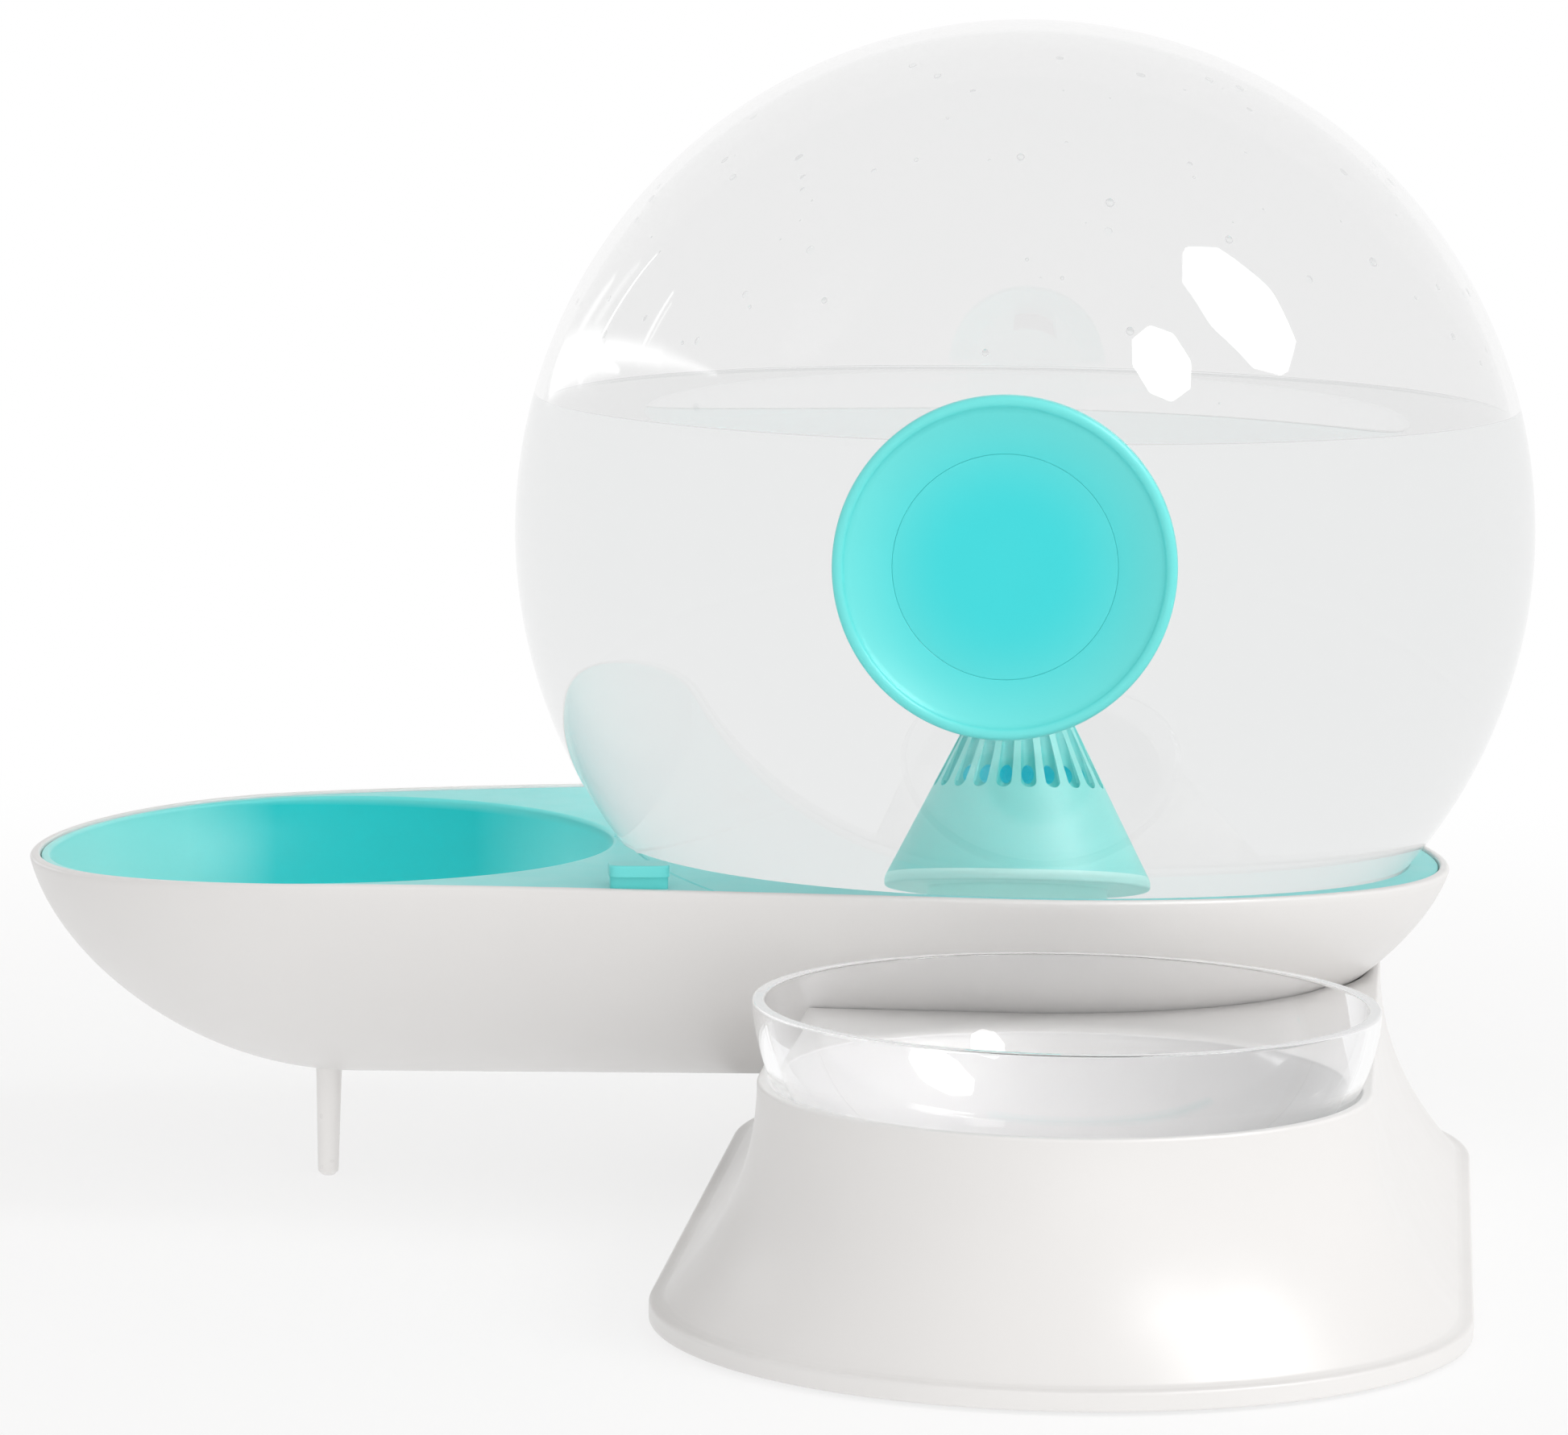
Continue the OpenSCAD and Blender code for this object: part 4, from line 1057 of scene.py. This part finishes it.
class STATION_OT_outlet(bpy.types.Operator):
    """Builds the strainer with its grooved cone and finishes its nut and seal, and the valve"""

    bl_idname = "station.outlet"
    bl_label = "Strainer and valve"

    def execute(self, context):
        self.strainer()
        finish_node("outlet_nut", teal_plastic())
        finish_node("valve_stem", white_plastic())
        dark = rubber("dark_rubber", (0.12, 0.12, 0.125))
        for node in ("outlet_seal", "valve_disc"):
            finish_node(node, dark)
        self.spring()
        return {"FINISHED"}

    def spring(self):
        """Round wire wound to a coil."""
        low, high = (np.array(corner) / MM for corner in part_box("valve_spring"))
        a = np.linspace(0, 2 * np.pi * SPRING_TURNS, 40 * SPRING_TURNS + 1)[:, None]
        b = np.linspace(0, 2 * np.pi, 12, endpoint=False)[None]
        r = (high[0] - low[0] - WIRE_D + WIRE_D * np.cos(b)) / 2
        z = low[2] + WIRE_D / 2 * (1 + np.sin(b)) + (high[2] - low[2] - WIRE_D) * a / a[-1]
        rings = np.stack(np.broadcast_arrays(r * np.cos(a), r * np.sin(a), z), 2)
        spring = solid("coil_spring", rings, AT_TANK)
        finish_piece(spring, spring_steel("spring_wire"), "station", "spring_wire", "valve_spring")
        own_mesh(spring)

    def strainer(self):
        """Cone on a riser tube with drain ports, the flange and the spigot with the valve's port and the
        stem's guide. Painted shade darkens the grooves and the slots' holes, and painted light brightens
        the foot under the cone."""
        bore_r = SPIGOT_R - SPIGOT_WALL
        riser_r = bore_r + CONE_WALL
        flange_z = RISER_Z - FLANGE_T
        rows = [[bore_r, STRAINER_LOW], [SPIGOT_R, STRAINER_LOW], [SPIGOT_R, flange_z],
                [FLANGE_R, flange_z], [FLANGE_R, RISER_Z], [riser_r, RISER_Z], [riser_r, CONE_Z],
                [CONE_BASE_R, CONE_Z], [CONE_BASE_R, CONE_Z + CONE_BASE_EDGE],
                [CONE_TOP_R, STRAINER_TOP - CONE_EDGE], [CONE_TOP_R - CONE_EDGE, STRAINER_TOP],
                [0, STRAINER_TOP], [0, CONE_Z + CONE_WALL], [bore_r, CONE_Z + CONE_WALL]]
        reach = [0, 0.2, 0, 0, 0.3, 0.3, 0.4, 1.0, 0.8, 1.2, 1.0, 0, 0, 0]
        side = softened(rows, reach, 6)
        strainer = solid("strainer", round_rings(side, 192), AT_TANK, loop=True)
        for low, thick in ((PORT_Z, PORT_T), (GUIDE_Z, GUIDE_T)):
            combine(strainer, rod("plate", bore_r + 0.2, low, low + thick, AT_TANK), "UNION")
        combine(strainer, rod("port", PORT_R, PORT_Z - 1, PORT_Z + 3, AT_TANK, 64))
        combine(strainer, rod("guide", GUIDE_R, GUIDE_Z - 1, GUIDE_Z + 3, AT_TANK, 32))
        for turned in range(0, 360, 60):
            place = round_tank(turned, bore_r * 0.6, GUIDE_Z)
            combine(strainer, rod("hole", bore_r * 0.2, -1, 3, place, 32))
        for turned in (0, 90, 180, 270):
            place = round_tank(turned, bore_r / 2, RISER_Z + DRAIN_HALF, 90)
            corner = DRAIN_HALF * 2 ** 0.5
            drain = round_rings([[corner, 0], [corner, riser_r]], 4)
            combine(strainer, solid("drain", drain, place @ turn(45, "Z")))
        for cutter in (slot_groove, slot_pocket):
            for slot in range(SLOT_COUNT):
                combine(strainer, cutter(360 * slot / SLOT_COUNT), sharp=50)
        pale = moulded_plastic("strainer_plastic", colours().strainer, 0.4)
        finish_piece(strainer, pale, "station", "teal_plastic", "strainer_cone")
        # Darker teal in the grooves and a dark teal glow in the slots' holes are painted shade; the paler,
        # glowing foot is painted light under the cone's base
        for name, painted_light, rough, glow in (("strainer_groove_painted_shade", (0.13, 0.76, 0.73), 0.45, 0.0),
                                         ("strainer_slot_painted_shade", (0.0, 0.43, 0.49), 0.6, 0.55),
                                         ("strainer_foot_painted_light", (0.46, 0.79, 0.75), 0.5, 0.3)):
            strainer.data.materials.append(moulded_plastic(name, painted_light, rough, glow=glow))
        # Faces in the grooves, in the holes and at the foot take the painted shade and light
        marked(strainer, AT_TANK, 1, lambda r, z: (z > SLOT_Z - 1) & (z < SLOT_Z + SLOT_LEN)
               & (r < cone_at(z) - 0.3))
        marked(strainer, AT_TANK, 2, lambda r, z: (z > SLOT_Z - 1) & (z < SLOT_Z + 5)
               & (r < cone_at(z) - SLOT_LOW_R * 1.75))
        marked(strainer, AT_TANK, 3, lambda r, z: (r > riser_r - 0.2) & (z > RISER_Z + 12)
               & (z < CONE_Z + 2.2))


def area_light(name, place, aim, width, height, power, shape="RECTANGLE"):
    """Soft light at a place, turned to a point, both in millimetres."""
    light = bpy.data.lights.new(name, "AREA")
    light.shape, light.size, light.size_y, light.energy = shape, width * MM, height * MM, power
    obj = placed(name, light)
    at = Vector(place) * MM
    obj.location = at
    obj.rotation_mode = "QUATERNION"
    obj.rotation_quaternion = (Vector(aim) * MM - at).to_track_quat("-Z", "Y")
    return obj


SOFTBOX_PLACE = (898, -409, 1123)


def octagon_glow(turned):
    """Formula of an octagon that fills its screen, turned in it: inside where the larger of the four
    distances across it is under one."""
    def glow(s, u):
        a = math.radians(turned)
        s, u = s * math.cos(a) - u * math.sin(a), s * math.sin(a) + u * math.cos(a)
        across = np.abs([s, u, (s + u) * 0.72, (s - u) * 0.72]).max(0)
        return np.clip((0.97 - across) / 0.04, 0, 1)
    return glow


def window_glow(s, u):
    """Formula of the light from a window and its sill: soft strokes between two points, each with
    a half width at both ends and a brightness."""
    total = np.zeros_like(s)
    for s0, u0, s1, u1, wide0, wide1, bright in (
            (0.178, 0.302, 0.160, -0.213, 0.004, 0.009, 1.0),
            (0.160, -0.213, 0.190, -0.42, 0.009, 0.05, 0.7),
            (-0.168, 0.45, -0.242, 0.04, 0.008, 0.016, 0.8),
            (-0.216, 0.42, -0.284, 0.0, 0.006, 0.012, 0.5),
            (0.26, 0.13, 0.31, -0.44, 0.02, 0.06, 0.16), (0.42, -0.13, 0.50, -0.62, 0.03, 0.07, 0.2),
            (0.60, -0.66, 0.16, -0.30, 0.07, 0.09, 0.9), (0.16, -0.30, -0.14, -0.16, 0.09, 0.02, 0.8),
            (0.04, -0.19, -0.40, 0.18, 0.05, 0.06, 0.9), (-0.40, 0.18, -0.86, 0.56, 0.06, 0.02, 0.7)):
        along = ((s - s0) * (s1 - s0) + (u - u0) * (u1 - u0)) / ((s1 - s0) ** 2 + (u1 - u0) ** 2)
        t = np.clip(along, 0, 1)
        off = np.hypot(s - s0 - (s1 - s0) * t, u - u0 - (u1 - u0) * t)
        total = np.maximum(total, bright * np.exp(-(off / (wide0 + (wide1 - wide0) * t)) ** 2))
    return total


def screen(name, place, width, height, glow, strength):
    """Flat screen turned to the globe that shows in gloss alone. Its glow goes by a formula over
    both directions across it, from -1 to 1, kept at its points."""
    s, u = np.meshgrid(np.linspace(-1, 1, 241), np.linspace(-1, 1, 161))
    ahead = np.array(place) - GLOBE_C
    ahead /= np.linalg.norm(ahead)
    side = np.cross(ahead, [0, 0, 1])
    side /= np.linalg.norm(side)
    up = np.cross(side, ahead)
    points = np.array(place) + s[..., None] * side * width / 2 + u[..., None] * up * height / 2
    obj = mesh_object(name, points.reshape(-1, 3), grid_faces(*s.shape, ring=False).tolist())
    obj.data.attributes.new("glow", "FLOAT", "POINT").data.foreach_set("value", glow(s, u).ravel())
    look = Look(name)
    bright = look.add("Attribute", attribute_name="glow")
    lamp = look.add("Emission", {"Color": (1, 1, 1, 1), "Strength": strength})
    mix = look.mix(bright, "Fac", look.add("BsdfTransparent"), lamp)
    obj.data.materials.append(look.end(mix))
    obj.visible_camera = obj.visible_diffuse = obj.visible_transmission = obj.visible_shadow = False
    return obj


def camera():
    """Camera at the photograph's place, heading, tilt and roll."""
    data = bpy.data.cameras.new("camera")
    data.sensor_fit, data.sensor_width = "HORIZONTAL", 36.0
    data.lens = FOCAL_PIXELS / PICTURE_WIDTH * 36.0
    data.clip_start, data.clip_end = 0.05, 60
    ahead = Vector((math.sin(HEADING), math.cos(HEADING), 0))
    right = Vector((math.cos(HEADING), -math.sin(HEADING), 0))
    up = ahead * math.sin(PITCH) + Vector((0, 0, math.cos(PITCH)))
    back = -(ahead * math.cos(PITCH) - Vector((0, 0, math.sin(PITCH))))
    x_axis = right * math.cos(ROLL) + up * math.sin(ROLL)
    y_axis = up * math.cos(ROLL) - right * math.sin(ROLL)
    turned = Matrix((x_axis, y_axis, back)).transposed().to_4x4()
    turned.translation = Vector(CAMERA_PLACE) * MM
    obj = placed("camera", data)
    obj.matrix_world = turned
    bpy.context.scene.camera = obj


def floor_look():
    """Pale floor that takes the object's shadow near it and goes to plain white further out. It is
    plain white to rays through gloss and clear plastic."""
    look = Look("floor")
    paint = look.add("BsdfDiffuse", {"Color": (0.97, 0.97, 0.97, 1)})
    white = look.add("Emission", {"Color": (1, 1, 1, 1), "Strength": 1.0})
    flat = look.add("VectorMath", operation="LENGTH")
    look.join(look.place, "Object", flat, 0)
    far = look.add("MapRange", {"From Min": 0.2, "From Max": 0.6, "To Min": 0.7},
                   interpolation_type="SMOOTHSTEP")
    look.join(flat, "Value", far, "Value")
    ray = look.add("LightPath")
    near = look.maths("MULTIPLY", (far, "Result"), (ray, "Is Camera Ray"))
    # The floor also glows to rays from dull surfaces: a glow that lights the pieces' undersides from below
    lift = look.maths("MULTIPLY_ADD", (ray, "Is Diffuse Ray"), 0.35, (near, 0))
    through = look.maths("MAXIMUM", (lift, 0), (ray, "Is Transmission Ray"))
    both = look.maths("MAXIMUM", (through, 0), (ray, "Is Glossy Ray"))
    return look.end(look.mix(both, 0, paint, white))


class STATION_OT_stage(bpy.types.Operator):
    """Sets up the floor, the soft studio lights, the white surroundings and the camera"""

    bl_idname = "station.stage"
    bl_label = "Stage"

    def execute(self, context):
        rings = round_rings(np.array([[r, 0.0] for r in (250, 500, 1000, 4000, 12000)]), 96)
        rows, cols = rings.shape[:2]
        faces = grid_faces(rows, cols)[:, ::-1].tolist() + [list(range(cols))]
        ground = mesh_object("floor", rings.reshape(-1, 3), faces)
        ground.data.materials.append(floor_look())
        self.surroundings(context.scene)
        for light in (area_light("key", SOFTBOX_PLACE, GLOBE_C, 470, 470, 3.1, "DISK"),
                      area_light("fill", (160, -1150, 60), (20, 0, 50), 620, 300, 2.0)):
            light.visible_glossy = light.visible_transmission = False
        screen("softbox", SOFTBOX_PLACE, 420, 700, octagon_glow(-20), 14.0).visible_transmission = True
        screen("small_softbox", (571, -887, 1009), 300, 400, octagon_glow(-25), 12.0)
        screen("window", (-851, 736, 533), 1900, 900, window_glow, 5.0)
        camera()
        context.scene.view_settings.view_transform = "Standard"
        return {"FINISHED"}

    def surroundings(self, scene):
        """Plain white to the camera and to rays through gloss and clear plastic. On the pieces, an
        even light that is stronger from the front, towards the food bowl."""
        look = Look("surroundings", "worlds")
        toward = look.add("VectorMath", {1: (0.62, -0.69, -0.38)}, operation="DOT_PRODUCT")
        look.join(look.place, "Generated", toward, 0)
        rise = look.add("MapRange", {"From Min": -1.0, "From Max": 1.0, "To Min": 0.5, "To Max": 1.13},
                        interpolation_type="SMOOTHSTEP")
        look.join(toward, "Value", rise, "Value")
        lit = look.add("Background", {"Color": (1.0, 0.985, 0.975, 1)})
        look.join(rise, "Result", lit, "Strength")
        seen = look.add("Background", {"Color": (1, 1, 1, 1)})
        plain = look.maths("SUBTRACT", 1.0, (look.add("LightPath"), "Is Diffuse Ray"))
        mix = look.mix(plain, 0, lit, seen)
        look.join(mix, 0, look.add("OutputWorld"), "Surface")
        scene.world = look.made


class STATION_PT_panel(bpy.types.Panel):
    """Lists the station's pieces, sizes and colours"""

    bl_label = "Pet feeding station"
    bl_idname = "STATION_PT_panel"
    bl_space_type = "VIEW_3D"
    bl_region_type = "UI"
    bl_category = "Station"

    def draw(self, context):
        layout = self.layout
        for group in (context.scene.station_sizes, context.scene.station_colours):
            box = layout.box()
            for prop in group.__annotations__:
                box.prop(group, prop)
        for operator in OPERATORS:
            layout.operator(operator.bl_idname)


OPERATORS = (STATION_OT_tray, STATION_OT_stand, STATION_OT_food_bowl, STATION_OT_inserts,
             STATION_OT_globe, STATION_OT_water, STATION_OT_cap, STATION_OT_outlet, STATION_OT_stage)
CLASSES = (StationSizes, StationColours, *OPERATORS, STATION_PT_panel)


def register():
    for cls in CLASSES:
        bpy.utils.register_class(cls)
    bpy.types.Scene.station_sizes = bpy.props.PointerProperty(type=StationSizes)
    bpy.types.Scene.station_colours = bpy.props.PointerProperty(type=StationColours)


def unregister():
    del bpy.types.Scene.station_sizes
    del bpy.types.Scene.station_colours
    for cls in reversed(CLASSES):
        bpy.utils.unregister_class(cls)


def main():
    register()
    bpy.ops.station.tray()
    bpy.ops.station.stand()
    bpy.ops.station.food_bowl()
    bpy.ops.station.inserts()
    bpy.ops.station.globe()
    bpy.ops.station.water()
    bpy.ops.station.cap()
    bpy.ops.station.outlet()
    bpy.ops.station.stage()


if __name__ == "__main__":
    main()
